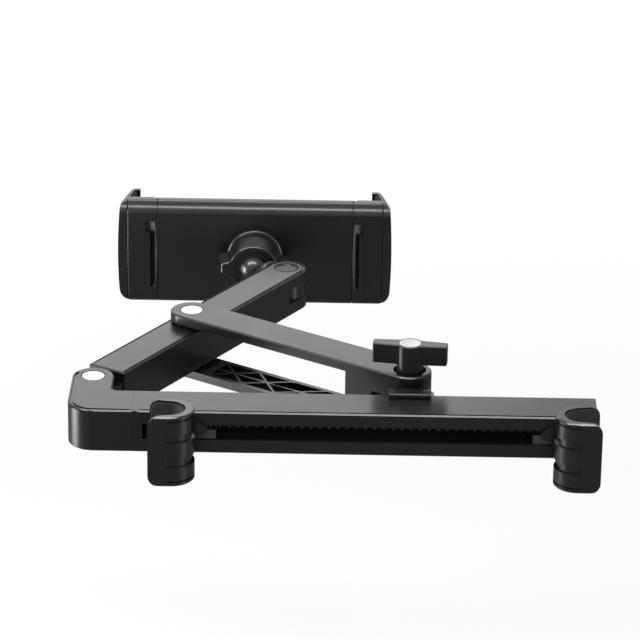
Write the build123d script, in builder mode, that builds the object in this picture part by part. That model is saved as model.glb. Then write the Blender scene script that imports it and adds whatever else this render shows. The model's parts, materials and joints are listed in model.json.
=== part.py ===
"""Headrest tablet mount.

A beam clamps behind the two posts of a headrest. An arm swings from the beam's elbow and is held by
a brace, whose far end rides on a carriage along the beam and is locked by a wing knob. A sprung
tablet holder sits on a ball joint at the arm's end.

Millimetres. +X runs along the beam to the right, +Y away from the posts towards the tablet, +Z up.
The origin lies midway between the two post axes, at the beam's mid height.
"""
import os
from math import asin, atan2, cos, degrees, floor, hypot, pi, radians, sin

from build123d import *

os.makedirs("parts", exist_ok=True)

# Clearances
PRESS = 0.02  # a pressed or glued seat
RUNNING = 0.08  # a bore round the pin that turns in it
TOUCH = 0.05  # flat faces that rub
SLIDING = 0.3  # faces that slide or swing past each other

# Headrest posts and clamp jaws
POST_RADIUS = 5.0
JAW_HEIGHT = 26.8
JAW_REACH = 7.0  # post axis to the end of the mouth
JAW_NOSE = 9.4  # post axis to the closed nose
JAW_FLARE = 1.4  # the mouth opens by this much on each side
JAW_STANDOFF = 0.8  # hook to beam
HOOK_PAD = 1.2  # rubber liner
HOOK_PAD_INSET = 0.6
HOOK_WALL = 2.3
HOOK_CORNER = 4.0  # free corners of the mouth plates
HOOK_EDGE = 0.5
GROOVE_HEIGHT = 3.2  # finger grooves round the nose
GROOVE_PITCH = 9.5
GROOVE_CUT = 1.05
RIM_HEIGHT = 1.5
RIM_GROOVE = 0.6
NECK_HEIGHT = 5.3
GUSSET_DROP = 3.6
GUSSET_RISE = 6.4
GUSSET_TIP = 13.6  # post axis to the gusset's tip
GUSSET_TIP_HEIGHT = 1.5
GUSSET_POCKET = 0.62  # share of the gusset that is hollowed
GUSSET_POCKET_DEPTH = 1.0
SHOE_INNER = 16.4  # post axis to the shoe's inner end
SHOE_OUTER = 2.8  # post axis to the shoe's outer end
SHOE_TONGUE = 3.4  # depth of the tall guide behind the rack
FINGER_NIB = 0.45
HOOK_SCREW_RADIUS = 1.25
HOOK_SCREW_HEAD = 2.4

# Beam
BEAM_LENGTH = 190.0  # elbow and end cap included
BEAM_DEPTH = 18.5
BEAM_HEIGHT = 16.0
BEAM_OVERHANG = 37.05  # left post axis to the beam's left end
BEAM_TAIL = 6.65  # right post axis to the beam's right end
BEAM_EDGE = 0.5
BEAM_SEAM = 0.35  # parting groove below the top edge
BEAM_SEAM_DEPTH = 0.4
SLOT_HEIGHT = 5.9
SLOT_LIP = 1.6  # wall thickness at the front slot
CAVITY_DEPTH = 9.1
CAVITY_HEIGHT = 11.2
RAIL_DEPTH = 6.2  # rear groove for the carriage
RAIL_HEIGHT = 6.0
CAP_PLATE = 1.7
CAP_PLUG = 1.4
CAP_TENON = 7.0
RACK_PITCH = 3.25
RACK_TOOTH = 1.9
RACK_TOOTH_ROOT = 1.5
RACK_TOOTH_TIP = 0.6
RACK_WIDTH = 2.6
RACK_SETBACK = 2.0  # behind the slot's lip
RACK_BASE = 2.3
BEAM_SCREW_RADIUS = 1.4
BEAM_SCREW_HEAD = 2.6
CROSS_WIDTH = 0.8  # cross recess
CROSS_LENGTH = 3.0
CROSS_DEPTH = 0.7

# Elbow and hinge
ELBOW_BODY = 23.6
ELBOW_COLLAR = 1.8
ELBOW_COLLAR_INSET = 0.15
ELBOW_LEG = 15.2
ELBOW_ROUND = 9.5
ELBOW_INNER_ROUND = 2.5
ELBOW_TENON = 13.0
ELBOW_PLUG = 1.8
HINGE_SETBACK = 13.0  # beam's back to the hinge axis
PIN_RADIUS = 2.5
PIN_CAP_RADIUS = 4.15
PIN_CAP = 0.9

# Arm
ARM_ANGLE = 58.56
ARM_LENGTH = 130.7  # hinge to swivel
ARM_WIDTH = 15.7
ARM_HEIGHT = 15.8
ARM_SHOULDER = 8.4  # hinge axis to the full section
ARM_EDGE = 0.5
TONGUE_HEIGHT = 7.0
TONGUE_RADIUS = 7.3
CLEVIS_GAP = 6.3
CLEVIS_DEPTH = 9.6
SWIVEL_CAP_RADIUS = 4.4

# Brace, carriage and wing knob
BRACE_REACH = 64.1  # hinge to brace pin
BRACE_LENGTH = 98.5  # brace pin to clamp stud
BRACE_WIDTH = 16.0
BRACE_TOP = 3.6
BRACE_BOTTOM = 3.4
BRACE_EDGE = 0.5
BRACE_BLOCK = 22.9  # clamp stud to the fork's throat
BRACE_RELIEF = 11.4  # clamp stud to the relief over the carriage
BRACE_HEAD = 8.6  # height of the clamped head
WASHER = 0.8
WASHER_RADIUS = 6.4
LATTICE_BAYS = 4
LATTICE_BAY = 15.0
LATTICE_RIB = 0.9
LATTICE_RAIL = 1.9
LATTICE_DEPTH = 2.2
LATTICE_START = 12.5  # brace pin to the first bay
STUD_RADIUS = 3.0
STUD_SLACK = 0.4
SEAT_RADIUS = 6.0  # counterbore for the knob's stem
SEAT_DEPTH = 2.0
CARRIAGE_WIDTH = 15.2
CARRIAGE_BOSS = 9.2
CARRIAGE_EDGE = 1.4
CARRIAGE_WALL = 1.5
CARRIAGE_LIP = 3.8  # hook over the beam's top edge
CARRIAGE_LIP_HEIGHT = 1.6
CARRIAGE_TONGUE = 5.6
NUT_FLATS = 10.0
NUT_HEIGHT = 5.0
KNOB_SPAN = 27.2
KNOB_TURN = -6.6
KNOB_HUB = 4.8
KNOB_ROOT = 6.4  # width of the wings at the hub
KNOB_TIP = 4.6  # width of the wings at their ends
KNOB_WING = 7.5  # height of the wings
KNOB_STEM = 4.9
KNOB_ROUND = 0.8
KNOB_CAP_RADIUS = 4.0

# Ball joint
LINK_LENGTH = 23.3  # swivel axis to ball centre
LINK_ANGLE = 125.4
LINK_NECK = 8.0
KNUCKLE_RADIUS = 7.3
FLANGE_RADIUS = 6.8
FLANGE_START = 10.3  # swivel axis to the flange
FLANGE = 1.8
STUD_NECK = 2.6
BALL_RADIUS = 6.0
SEAT_WALL = 1.4
SEAT_GAP = 0.1
RING_FRONT = 2.0
RING_BACK = 1.5
CUP_FRONT = 3.7
LOCK_FRONT = 2.3  # ball centre to the lock nut's front face
LOCK_LENGTH = 7.6
LOCK_LIP = 1.2
LOCK_RADIUS = 9.8  # at the front
LOCK_DRAFT = 12.0  # the nut widens to the back
LOCK_LOBE = 12.9
LOCK_LOBES = 2
LOCK_LOBE_TURN = 178.0
LOCK_LOBE_TIP = 3.6
LOCK_LOBE_ROOT = 7.0
LOCK_OPENING = 7.2
LOCK_EDGE = 0.3
SPIGOT_RADIUS = 9.0
BOSS_RADIUS = 10.2
BOSS_FILLET = 1.2

# Tablet holder, with depths from the ball centre
HOLDER_BODY = 78.5  # width between the wings
HOLDER_HEIGHT = 43.0
HOLDER_BACK = 13.1
HOLDER_CROWN = 0.7
HOLDER_ROUND = 4.5
HOLDER_WALL = 2.4
HOLDER_RIM = 2.5  # top and bottom walls of the cavity
HOLDER_SEAM = 0.4  # groove between the shell and the front plate
PLATE = 2.9
PLATE_EDGE = 0.5
PLATE_LAP = 1.2  # the front plate laps over the wings
FRONT_PAD = 0.8
FRONT_PAD_MARGIN = 4.5
SLIDE_PLATE = 1.4
SLIDE_PLATE_MARGIN = 0.9  # slide plate to spring
SLIDE_PLATE_REACH = 68.0  # seam to the plate's inner end
SLIDE_PLATE_SLOT = 6.0
SCREW_BOSS = 2.4
SCREW_SPREAD = 28.0
SCREW_RADIUS = 1.1
SCREW_HEAD = 2.1
SPRING_RADIUS = 1.3
SPRING_WIRE = 0.5
SPRING_MARGIN = 0.5  # spring to the cavity's wall
SPRING_ANCHOR = 34.0
SPRING_LUG = 30.0
WING_TRAVEL = 45.0
WING_WIDTH = 15.95
WING_BULGE = 0.9
WING_GAP = 0.3
WING_SEAM = 0.5  # cover to side jaw
WING_JAW = 3.6
WING_TOP_ROUND = 3.0
WING_LOW_ROUND = 7.0
WING_SIDE = 9.8  # side wall beyond the front plate
WING_LEAN = 2.8  # the side wall leans in by this much at its tip
WING_LIP = 2.2
WING_LIP_THICKNESS = 2.0
WING_PAD = 1.0
WING_PAD_MARGIN = 0.5
GRIP_WIDTH = 4.4
GRIP_DEPTH = 1.3
GRIP_MARGIN = 7.45  # grip to the wing's top and bottom
GRIP_RIB = 1.8
GRIP_RIB_DROP = 4.3  # the rib ends below the recess's top
GRIP_RIB_RISE = 0.8

# Places worked out from the sizes
jaw_half = POST_RADIUS + HOOK_PAD + HOOK_WALL
post_spacing = BEAM_LENGTH - BEAM_OVERHANG - BEAM_TAIL
beam_left = -post_spacing / 2 - BEAM_OVERHANG
beam_right = beam_left + BEAM_LENGTH
beam_front = jaw_half + JAW_STANDOFF
beam_back = beam_front + BEAM_DEPTH
beam_top = BEAM_HEIGHT / 2
channel_left = beam_left + ELBOW_BODY + ELBOW_COLLAR
channel_right = beam_right - CAP_PLATE
cavity_front = beam_front + SLOT_LIP
cavity_back = cavity_front + CAVITY_DEPTH
rail_floor = beam_back - RAIL_DEPTH

hinge = (beam_left + ELBOW_LEG / 2, beam_back + HINGE_SETBACK)
arm_way = (cos(radians(ARM_ANGLE)), sin(radians(ARM_ANGLE)))
brace_pivot = (hinge[0] + BRACE_REACH * arm_way[0], hinge[1] + BRACE_REACH * arm_way[1])
swivel = (hinge[0] + ARM_LENGTH * arm_way[0], hinge[1] + ARM_LENGTH * arm_way[1])
brace_angle = -degrees(asin(BRACE_REACH * arm_way[1] / BRACE_LENGTH))
brace_way = (cos(radians(brace_angle)), sin(radians(brace_angle)))
clamp = (brace_pivot[0] + BRACE_LENGTH * brace_way[0], brace_pivot[1] + BRACE_LENGTH * brace_way[1])
link_way = (cos(radians(LINK_ANGLE)), sin(radians(LINK_ANGLE)))
ball = (swivel[0] + LINK_LENGTH * link_way[0], swivel[1] + LINK_LENGTH * link_way[1], 0)

fork_half = ARM_HEIGHT / 2 + WASHER + 2 * TOUCH
brace_top = fork_half + BRACE_TOP
brace_bottom = -fork_half - BRACE_BOTTOM
head_bottom = brace_top - BRACE_HEAD
mortise_half = TONGUE_HEIGHT / 2 + 2 * TOUCH

arm_plane = Plane(origin=(*hinge, 0), x_dir=(*arm_way, 0), z_dir=(0, 0, 1))
brace_plane = Plane(origin=(*brace_pivot, 0), x_dir=(*brace_way, 0), z_dir=(0, 0, 1))
link_plane = Plane(origin=(*swivel, 0), x_dir=(*link_way, 0), z_dir=(0, 0, 1))
knob_way = (cos(radians(KNOB_TURN)), sin(radians(KNOB_TURN)))
knob_plane = Plane(origin=(*clamp, 0), x_dir=(*knob_way, 0), z_dir=(0, 0, 1))

BASE = (Align.CENTER, Align.CENTER, Align.MIN)
SIDES = {"left": -1, "right": 1}


def save(piece, label):
    """Name a finished piece and write its file."""
    piece.part.label = label
    export_step(piece.part, f"parts/{label}.step")


def cylinder(place, low, high, radius, mode=Mode.ADD):
    """Upright cylinder about a plan point, between two heights."""
    with Locations((place[0], place[1], low)):
        Cylinder(radius, high - low, align=BASE, mode=mode)


def block(xs, ys, zs, mode=Mode.ADD):
    """Box between two values on each axis."""
    with Locations((sum(xs) / 2, sum(ys) / 2, sum(zs) / 2)):
        Box(abs(xs[1] - xs[0]), abs(ys[1] - ys[0]), abs(zs[1] - zs[0]), mode=mode)


def round_rod(place, start, end, radius, mode=Mode.ADD):
    """Cylinder along +Y about a point of the XZ plane."""
    with BuildSketch(Plane.XZ.offset(-start)) as disc:
        with Locations(place):
            Circle(radius)
    extrude(disc.sketch, amount=start - end, mode=mode)


# Beam channel: one straight section with the front slot, its cavity and the rear groove
beam_middle = (beam_front + beam_back) / 2
with BuildPart() as beam_channel:
    with BuildSketch(Plane.YZ.offset(channel_left)) as section:
        with Locations((beam_middle, 0)):
            outline = Rectangle(BEAM_DEPTH, BEAM_HEIGHT)
        chamfer(outline.vertices(), BEAM_EDGE)
        with Locations(((cavity_front + cavity_back) / 2, 0)):
            Rectangle(CAVITY_DEPTH, CAVITY_HEIGHT, mode=Mode.SUBTRACT)
        with Locations((beam_front + SLOT_LIP / 2, 0)):
            Rectangle(SLOT_LIP, SLOT_HEIGHT, mode=Mode.SUBTRACT)
        with Locations((rail_floor + RAIL_DEPTH / 2, 0)):
            Rectangle(RAIL_DEPTH, RAIL_HEIGHT, mode=Mode.SUBTRACT)
        seam_low = beam_top - BEAM_EDGE - BEAM_SEAM
        for seam_y in (beam_front, beam_back):
            with Locations((seam_y, seam_low + BEAM_SEAM / 2)):
                Rectangle(2 * BEAM_SEAM_DEPTH, BEAM_SEAM, mode=Mode.SUBTRACT)
    extrude(amount=channel_right - channel_left)
    rail_middle = rail_floor + RAIL_DEPTH / 2
    elbow_screw_x = channel_left + ELBOW_TENON * 0.6
    cap_screw_x = channel_right - CAP_TENON * 0.55
    screw_seat = -RAIL_HEIGHT / 2
    for screw_x in (elbow_screw_x, cap_screw_x):
        cylinder((screw_x, rail_middle), -beam_top, screw_seat, BEAM_SCREW_RADIUS + SLIDING, Mode.SUBTRACT)
        cylinder(
            (screw_x, rail_middle), -beam_top, -beam_top + BEAM_SCREW_RADIUS, BEAM_SCREW_HEAD, Mode.SUBTRACT
        )
save(beam_channel, "beam_channel")

# Elbow: corner moulding with the hinge fork, tenoned into the channel
collar_left = beam_left + ELBOW_BODY
leg_right = beam_left + ELBOW_LEG


def elbow_plan(right, margin):
    """Plan of the elbow from its rounded corner to a right end, drawn in by a margin."""
    left, front, back = beam_left + margin, beam_front + margin, beam_back - margin
    leg_half = ELBOW_LEG / 2 - margin
    with BuildSketch(Plane.XY) as plan:
        with Locations(((left + right) / 2, (front + back) / 2)):
            Rectangle(right - left, back - front)
        with Locations((hinge[0], (front + hinge[1]) / 2)):
            Rectangle(2 * leg_half, hinge[1] - front)
        with Locations(hinge):
            Circle(leg_half)
        fillet(plan.vertices().sort_by_distance((left, front))[0], ELBOW_ROUND - margin)
        inner = plan.vertices().sort_by_distance((hinge[0] + leg_half, back))[0]
        fillet(inner, ELBOW_INNER_ROUND + margin)
    return plan.sketch


with BuildPart() as elbow:
    extrude(elbow_plan(collar_left, 0).moved(Location((0, 0, -beam_top))), amount=BEAM_HEIGHT)
    rims = elbow.faces().sort_by(Axis.Z)
    rim_edges = rims[0].edges() + rims[-1].edges()
    chamfer(rim_edges.filter_by(lambda edge: edge.center().X < collar_left - TOUCH), BEAM_EDGE)
    inset = ELBOW_COLLAR_INSET
    block(
        (collar_left, channel_left),
        (beam_front + inset, beam_back - inset),
        (-beam_top + inset, beam_top - inset),
    )
    seam_ring = elbow_plan(channel_left, 0) - elbow_plan(channel_left + 1, BEAM_SEAM_DEPTH)
    extrude(seam_ring.moved(Location((0, 0, seam_low))), amount=BEAM_SEAM, mode=Mode.SUBTRACT)
    plug_half = CAVITY_HEIGHT / 2 - PRESS
    block(
        (channel_left, channel_left + ELBOW_PLUG),
        (cavity_front + PRESS, cavity_back - PRESS),
        (-plug_half, plug_half),
    )
    tab_half = SLOT_HEIGHT / 2 - PRESS
    block(
        (channel_left, channel_left + ELBOW_PLUG),
        (beam_front + BEAM_EDGE, cavity_front + PRESS),
        (-tab_half, tab_half),
    )
    tenon_half = RAIL_HEIGHT / 2 - PRESS
    block(
        (channel_left, channel_left + ELBOW_TENON),
        (rail_floor + PRESS, beam_back - BEAM_EDGE),
        (-tenon_half, tenon_half),
    )
    cylinder((elbow_screw_x, rail_middle), -tenon_half, 0, BEAM_SCREW_RADIUS + PRESS, Mode.SUBTRACT)
    block(
        (beam_left - 1, leg_right + 1),
        (hinge[1] - TONGUE_RADIUS - SLIDING, hinge[1] + ELBOW_LEG),
        (-mortise_half, mortise_half),
        Mode.SUBTRACT,
    )
    cylinder(hinge, -beam_top, beam_top, PIN_RADIUS + PRESS, Mode.SUBTRACT)
    cap_seat = beam_top - PIN_CAP
    cylinder(hinge, cap_seat, beam_top, PIN_CAP_RADIUS + SLIDING, Mode.SUBTRACT)
    cylinder(hinge, -beam_top, -cap_seat, PIN_CAP_RADIUS + SLIDING, Mode.SUBTRACT)
save(elbow, "elbow")

# End cap: plate with a plug for the cavity and a tenon for the rear groove
with BuildPart() as end_cap:
    with BuildSketch(Plane.YZ.offset(channel_right)):
        with Locations((beam_middle, 0)):
            cap_outline = Rectangle(BEAM_DEPTH, BEAM_HEIGHT)
        chamfer(cap_outline.vertices(), BEAM_EDGE)
    extrude(amount=CAP_PLATE)
    chamfer(end_cap.faces().sort_by(Axis.X)[-1].edges(), BEAM_EDGE / 2)
    block(
        (channel_right - CAP_PLUG, channel_right),
        (cavity_front + PRESS, cavity_back - PRESS),
        (-plug_half, plug_half),
    )
    block(
        (channel_right - CAP_TENON, channel_right),
        (rail_floor + PRESS, beam_back - BEAM_EDGE),
        (-tenon_half, tenon_half),
    )
    cylinder((cap_screw_x, rail_middle), -tenon_half, 0, BEAM_SCREW_RADIUS + PRESS, Mode.SUBTRACT)
save(end_cap, "end_cap")

# Rack strip: a comb of ratchet teeth on the cavity's ceiling, seen through the slot
rack_left = channel_left + ELBOW_PLUG + PRESS
rack_right = channel_right - CAP_PLUG - PRESS
rack_top = CAVITY_HEIGHT / 2 - PRESS
rack_root = rack_top - RACK_BASE
rack_front = cavity_front + RACK_SETBACK
rack_teeth = floor((rack_right - rack_left) / RACK_PITCH)
with BuildPart() as rack_strip:
    with BuildSketch(Plane.XZ.offset(-rack_front)):
        with Locations(((rack_left + rack_right) / 2, rack_top - RACK_BASE / 2)):
            Rectangle(rack_right - rack_left, RACK_BASE)
        with Locations(((rack_left + rack_right) / 2, rack_root)):
            with GridLocations(RACK_PITCH, RACK_PITCH, rack_teeth, 1):
                Polygon(
                    (-RACK_TOOTH_ROOT / 2, PRESS),
                    (-RACK_TOOTH_TIP / 2, -RACK_TOOTH),
                    (RACK_TOOTH_TIP / 2, -RACK_TOOTH),
                    (RACK_TOOTH_ROOT / 2, PRESS),
                    align=None,
                )
    extrude(amount=-RACK_WIDTH)
save(rack_strip, "rack_strip")

# Screws from below into the two tenons
with BuildPart() as beam_screws:
    for screw_x in (elbow_screw_x, cap_screw_x):
        with BuildSketch(Plane.XZ.offset(-rail_middle)) as half:
            with BuildLine():
                Polyline(
                    (screw_x, -beam_top + PRESS),
                    (screw_x + BEAM_SCREW_HEAD - PRESS, -beam_top + PRESS),
                    (screw_x + BEAM_SCREW_RADIUS, -beam_top + BEAM_SCREW_RADIUS),
                    (screw_x + BEAM_SCREW_RADIUS, -SLIDING),
                    (screw_x, -SLIDING),
                    close=True,
                )
            make_face()
        revolve(axis=Axis((screw_x, rail_middle, 0), (0, 0, 1)))
        with BuildSketch(Plane.XY.offset(-beam_top), mode=Mode.PRIVATE) as cross:
            with Locations((screw_x, rail_middle)):
                Rectangle(CROSS_LENGTH, CROSS_WIDTH)
                Rectangle(CROSS_WIDTH, CROSS_LENGTH)
        extrude(cross.sketch, amount=CROSS_DEPTH, mode=Mode.SUBTRACT)
save(beam_screws, "beam_screws")

# Hinge pin through the elbow's fork, with a cap at each end
with BuildPart() as hinge_pin:
    cylinder(hinge, -cap_seat, cap_seat, PIN_RADIUS)
save(hinge_pin, "hinge_pin")

with BuildPart() as hinge_pin_caps:
    for low, high in ((cap_seat, beam_top), (-beam_top, -cap_seat)):
        cylinder(hinge, low, high, PIN_CAP_RADIUS)
save(hinge_pin_caps, "hinge_pin_caps")

def mouth(post, end, half):
    """Corners of a jaw's flared opening, from the post axis to the mouth's end."""
    return (post, -half), (end, -half - JAW_FLARE), (end, half + JAW_FLARE), (post, half)


def mouth_plate(post, end, height, corner):
    """Side outline of a jaw, with the two corners at the mouth rounded."""
    far = post - (end - post) * 2
    with BuildSketch(Plane.XZ) as outline:
        with Locations(((far + end) / 2, 0)):
            Rectangle(abs(end - far), height)
        for level in (-height / 2, height / 2):
            fillet(outline.vertices().sort_by_distance((end, level))[0], corner)
    return outline.sketch


# Clamp jaws: hook, rubber liner, slide shoe and screw on each side
jaw_low = -JAW_HEIGHT / 2
jaw_high = JAW_HEIGHT / 2
hook_bore = POST_RADIUS + HOOK_PAD
nose_centre = JAW_NOSE - jaw_half
neck_back = beam_front + BEAM_EDGE
shoe_top = rack_root - RACK_TOOTH - SLIDING
shoe_front = cavity_front + SLIDING
shoe_back = cavity_back - SLIDING
groove_half = jaw_half - GROOVE_CUT
for side, out in SIDES.items():
    post = out * post_spacing / 2
    nose_x = post - out * nose_centre
    mouth_x = post + out * JAW_REACH
    inner_x = post - out * SHOE_INNER
    outer_x = post + out * SHOE_OUTER

    with BuildPart() as hook:
        with BuildSketch(Plane.XY.offset(jaw_low)):
            with Locations(((nose_x + mouth_x) / 2, 0)):
                Rectangle(abs(mouth_x - nose_x), 2 * jaw_half)
            with Locations((nose_x, 0)):
                Circle(jaw_half)
        extrude(amount=JAW_HEIGHT)
        hook_faces = hook.faces().sort_by(Axis.Z)
        chamfer(hook_faces[0].edges() + hook_faces[-1].edges(), HOOK_EDGE)
        plate = mouth_plate(post, mouth_x, JAW_HEIGHT, HOOK_CORNER)
        extrude(plate, amount=2 * jaw_half, both=True, mode=Mode.INTERSECT)
        with BuildSketch(Plane.XY.offset(jaw_low)):
            with Locations((post, 0)):
                Circle(hook_bore)
            Polygon(*mouth(post, mouth_x, hook_bore), align=None)
        extrude(amount=JAW_HEIGHT, mode=Mode.SUBTRACT)
        with BuildSketch(Plane.XY, mode=Mode.PRIVATE) as nose_groove:
            far_x = post - out * (JAW_NOSE + 1)
            end_x = post
            groove_x = nose_x
            with Locations(((far_x + end_x) / 2, 0)):
                Rectangle(abs(end_x - far_x), 2 * jaw_half + 2)
            with Locations(((groove_x + end_x) / 2, 0)):
                Rectangle(abs(end_x - groove_x) + 1, 2 * groove_half, mode=Mode.SUBTRACT)
            with Locations((groove_x, 0)):
                Circle(groove_half, mode=Mode.SUBTRACT)
        cuts = [
            (GROOVE_PITCH / 2, GROOVE_HEIGHT),
            (-GROOVE_PITCH / 2, GROOVE_HEIGHT),
            (jaw_high - RIM_HEIGHT - RIM_GROOVE / 2, RIM_GROOVE),
            (jaw_low + RIM_HEIGHT + RIM_GROOVE / 2, RIM_GROOVE),
        ]
        for height, width in cuts:
            ring = nose_groove.sketch.moved(Location((0, 0, height - width / 2)))
            extrude(ring, amount=width, mode=Mode.SUBTRACT)
        gusset_x = post - out * (JAW_NOSE - HOOK_WALL)
        block(
            (gusset_x, outer_x),
            (hook_bore + HOOK_WALL / 2, neck_back),
            (-NECK_HEIGHT / 2, NECK_HEIGHT / 2),
        )
        with BuildSketch(Plane.XZ.offset(-(jaw_half - HOOK_WALL / 2))):
            tip_x = post - out * GUSSET_TIP
            tip_high = NECK_HEIGHT / 2
            with BuildLine():
                Polyline(
                    (post, -GUSSET_DROP),
                    (gusset_x, -GUSSET_DROP),
                    (tip_x, tip_high - GUSSET_TIP_HEIGHT),
                    (tip_x, tip_high),
                    (gusset_x, GUSSET_RISE),
                    (post, GUSSET_RISE),
                    close=True,
                )
            make_face()
        extrude(amount=-(HOOK_WALL + JAW_STANDOFF) / 2)
        web = [
            (gusset_x, -GUSSET_DROP),
            (tip_x, tip_high - GUSSET_TIP_HEIGHT),
            (tip_x, tip_high),
            (gusset_x, GUSSET_RISE),
        ]
        centre = [sum(corner[axis] for corner in web) / 4 for axis in (0, 1)]
        hollow = [[mid + GUSSET_POCKET * (at - mid) for at, mid in zip(corner, centre)] for corner in web]
        with BuildSketch(Plane.XZ.offset(-(jaw_half - HOOK_WALL / 2))):
            Polygon(*hollow, align=None)
        extrude(amount=-GUSSET_POCKET_DEPTH, mode=Mode.SUBTRACT)
        round_rod((post, 0), 0, neck_back, HOOK_SCREW_RADIUS + PRESS, Mode.SUBTRACT)
        round_rod((post, 0), 0, jaw_half, HOOK_SCREW_HEAD + PRESS, Mode.SUBTRACT)
    save(hook, f"{side}_hook")

    with BuildPart() as hook_pad:
        with BuildSketch(Plane.XY.offset(jaw_low + HOOK_PAD_INSET)):
            with Locations((post, 0)):
                Circle(hook_bore - PRESS)
            Polygon(*mouth(post, mouth_x, hook_bore - PRESS), align=None)
            with Locations((post, 0)):
                Circle(POST_RADIUS, mode=Mode.SUBTRACT)
            Polygon(*mouth(post, mouth_x, POST_RADIUS), align=None, mode=Mode.SUBTRACT)
        pad_height = JAW_HEIGHT - 2 * HOOK_PAD_INSET
        extrude(amount=pad_height)
        pad_end = mouth_x - out * HOOK_PAD_INSET
        plate = mouth_plate(post, pad_end, pad_height, HOOK_CORNER - HOOK_PAD_INSET)
        extrude(plate, amount=2 * jaw_half, both=True, mode=Mode.INTERSECT)
    save(hook_pad, f"{side}_hook_pad")

    with BuildPart() as shoe:
        with BuildSketch(Plane.YZ.offset(inner_x)):
            low = -CAVITY_HEIGHT / 2 + SLIDING
            guide_front = shoe_back - SHOE_TONGUE
            front_half = SLOT_HEIGHT / 2 - SLIDING
            with BuildLine():
                Polyline(
                    (neck_back + PRESS, -front_half),
                    (shoe_front, -front_half),
                    (shoe_front, low),
                    (shoe_back, low),
                    (shoe_back, CAVITY_HEIGHT / 2 - SLIDING),
                    (guide_front, CAVITY_HEIGHT / 2 - SLIDING),
                    (guide_front, shoe_top - FINGER_NIB),
                    (shoe_front, shoe_top - FINGER_NIB),
                    (neck_back + PRESS, shoe_top - FINGER_NIB),
                    close=True,
                )
            make_face()
        extrude(amount=outer_x - inner_x)
        nib_x = inner_x + out * RACK_PITCH
        with BuildSketch(Plane.XZ.offset(-rack_front)):
            with BuildLine():
                Polyline(
                    (nib_x - RACK_TOOTH_ROOT / 2, shoe_top - FINGER_NIB - PRESS),
                    (nib_x, shoe_top),
                    (nib_x + RACK_TOOTH_ROOT / 2, shoe_top - FINGER_NIB - PRESS),
                    close=True,
                )
            make_face()
        extrude(amount=-(RACK_WIDTH - SLIDING))
        round_rod((post, 0), neck_back, shoe_back, HOOK_SCREW_RADIUS + PRESS, Mode.SUBTRACT)
    save(shoe, f"{side}_shoe")

    with BuildPart() as hook_screw:
        round_rod((post, 0), jaw_half - HOOK_SCREW_RADIUS, jaw_half - PRESS, HOOK_SCREW_HEAD)
        round_rod((post, 0), jaw_half - PRESS, shoe_back - 1, HOOK_SCREW_RADIUS)
    save(hook_screw, f"{side}_hook_screw")

# Main arm: straight bar with a tongue for the elbow's fork and a clevis for the swivel
with BuildPart() as main_arm:
    with BuildSketch(arm_plane.offset(-ARM_HEIGHT / 2)):
        with Locations(((ARM_SHOULDER + ARM_LENGTH) / 2, 0)):
            Rectangle(ARM_LENGTH - ARM_SHOULDER, ARM_WIDTH)
        with Locations((ARM_LENGTH, 0)):
            Circle(ARM_WIDTH / 2)
    extrude(amount=ARM_HEIGHT)
    arm_faces = main_arm.faces().sort_by(Axis.Z)
    chamfer(arm_faces[0].edges() + arm_faces[-1].edges(), ARM_EDGE)
    with BuildSketch(arm_plane.offset(-TONGUE_HEIGHT / 2)):
        Circle(TONGUE_RADIUS)
        with Locations(((ARM_SHOULDER + 1) / 2, 0)):
            Rectangle(ARM_SHOULDER + 1, 2 * TONGUE_RADIUS)
    extrude(amount=TONGUE_HEIGHT)
    with BuildSketch(arm_plane.offset(-CLEVIS_GAP / 2)):
        with Locations((ARM_LENGTH - CLEVIS_DEPTH + ARM_WIDTH, 0)):
            Rectangle(2 * ARM_WIDTH, 2 * ARM_WIDTH)
    extrude(amount=CLEVIS_GAP, mode=Mode.SUBTRACT)
    cylinder(hinge, -TONGUE_HEIGHT, TONGUE_HEIGHT, PIN_RADIUS + RUNNING, Mode.SUBTRACT)
    cylinder(brace_pivot, -ARM_HEIGHT, ARM_HEIGHT, PIN_RADIUS + RUNNING, Mode.SUBTRACT)
    cylinder(swivel, -ARM_HEIGHT, ARM_HEIGHT, PIN_RADIUS + PRESS, Mode.SUBTRACT)
    arm_seat = ARM_HEIGHT / 2 - PIN_CAP
    cylinder(swivel, arm_seat, ARM_HEIGHT, SWIVEL_CAP_RADIUS + SLIDING, Mode.SUBTRACT)
    cylinder(swivel, -ARM_HEIGHT, -arm_seat, SWIVEL_CAP_RADIUS + SLIDING, Mode.SUBTRACT)
save(main_arm, "main_arm")

with BuildPart() as swivel_pin:
    cylinder(swivel, -arm_seat, arm_seat, PIN_RADIUS)
save(swivel_pin, "swivel_pin")

with BuildPart() as swivel_pin_caps:
    for low, high in ((arm_seat, ARM_HEIGHT / 2 - TOUCH), (-ARM_HEIGHT / 2 + TOUCH, -arm_seat)):
        cylinder(swivel, low, high, SWIVEL_CAP_RADIUS)
save(swivel_pin_caps, "swivel_pin_caps")

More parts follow.
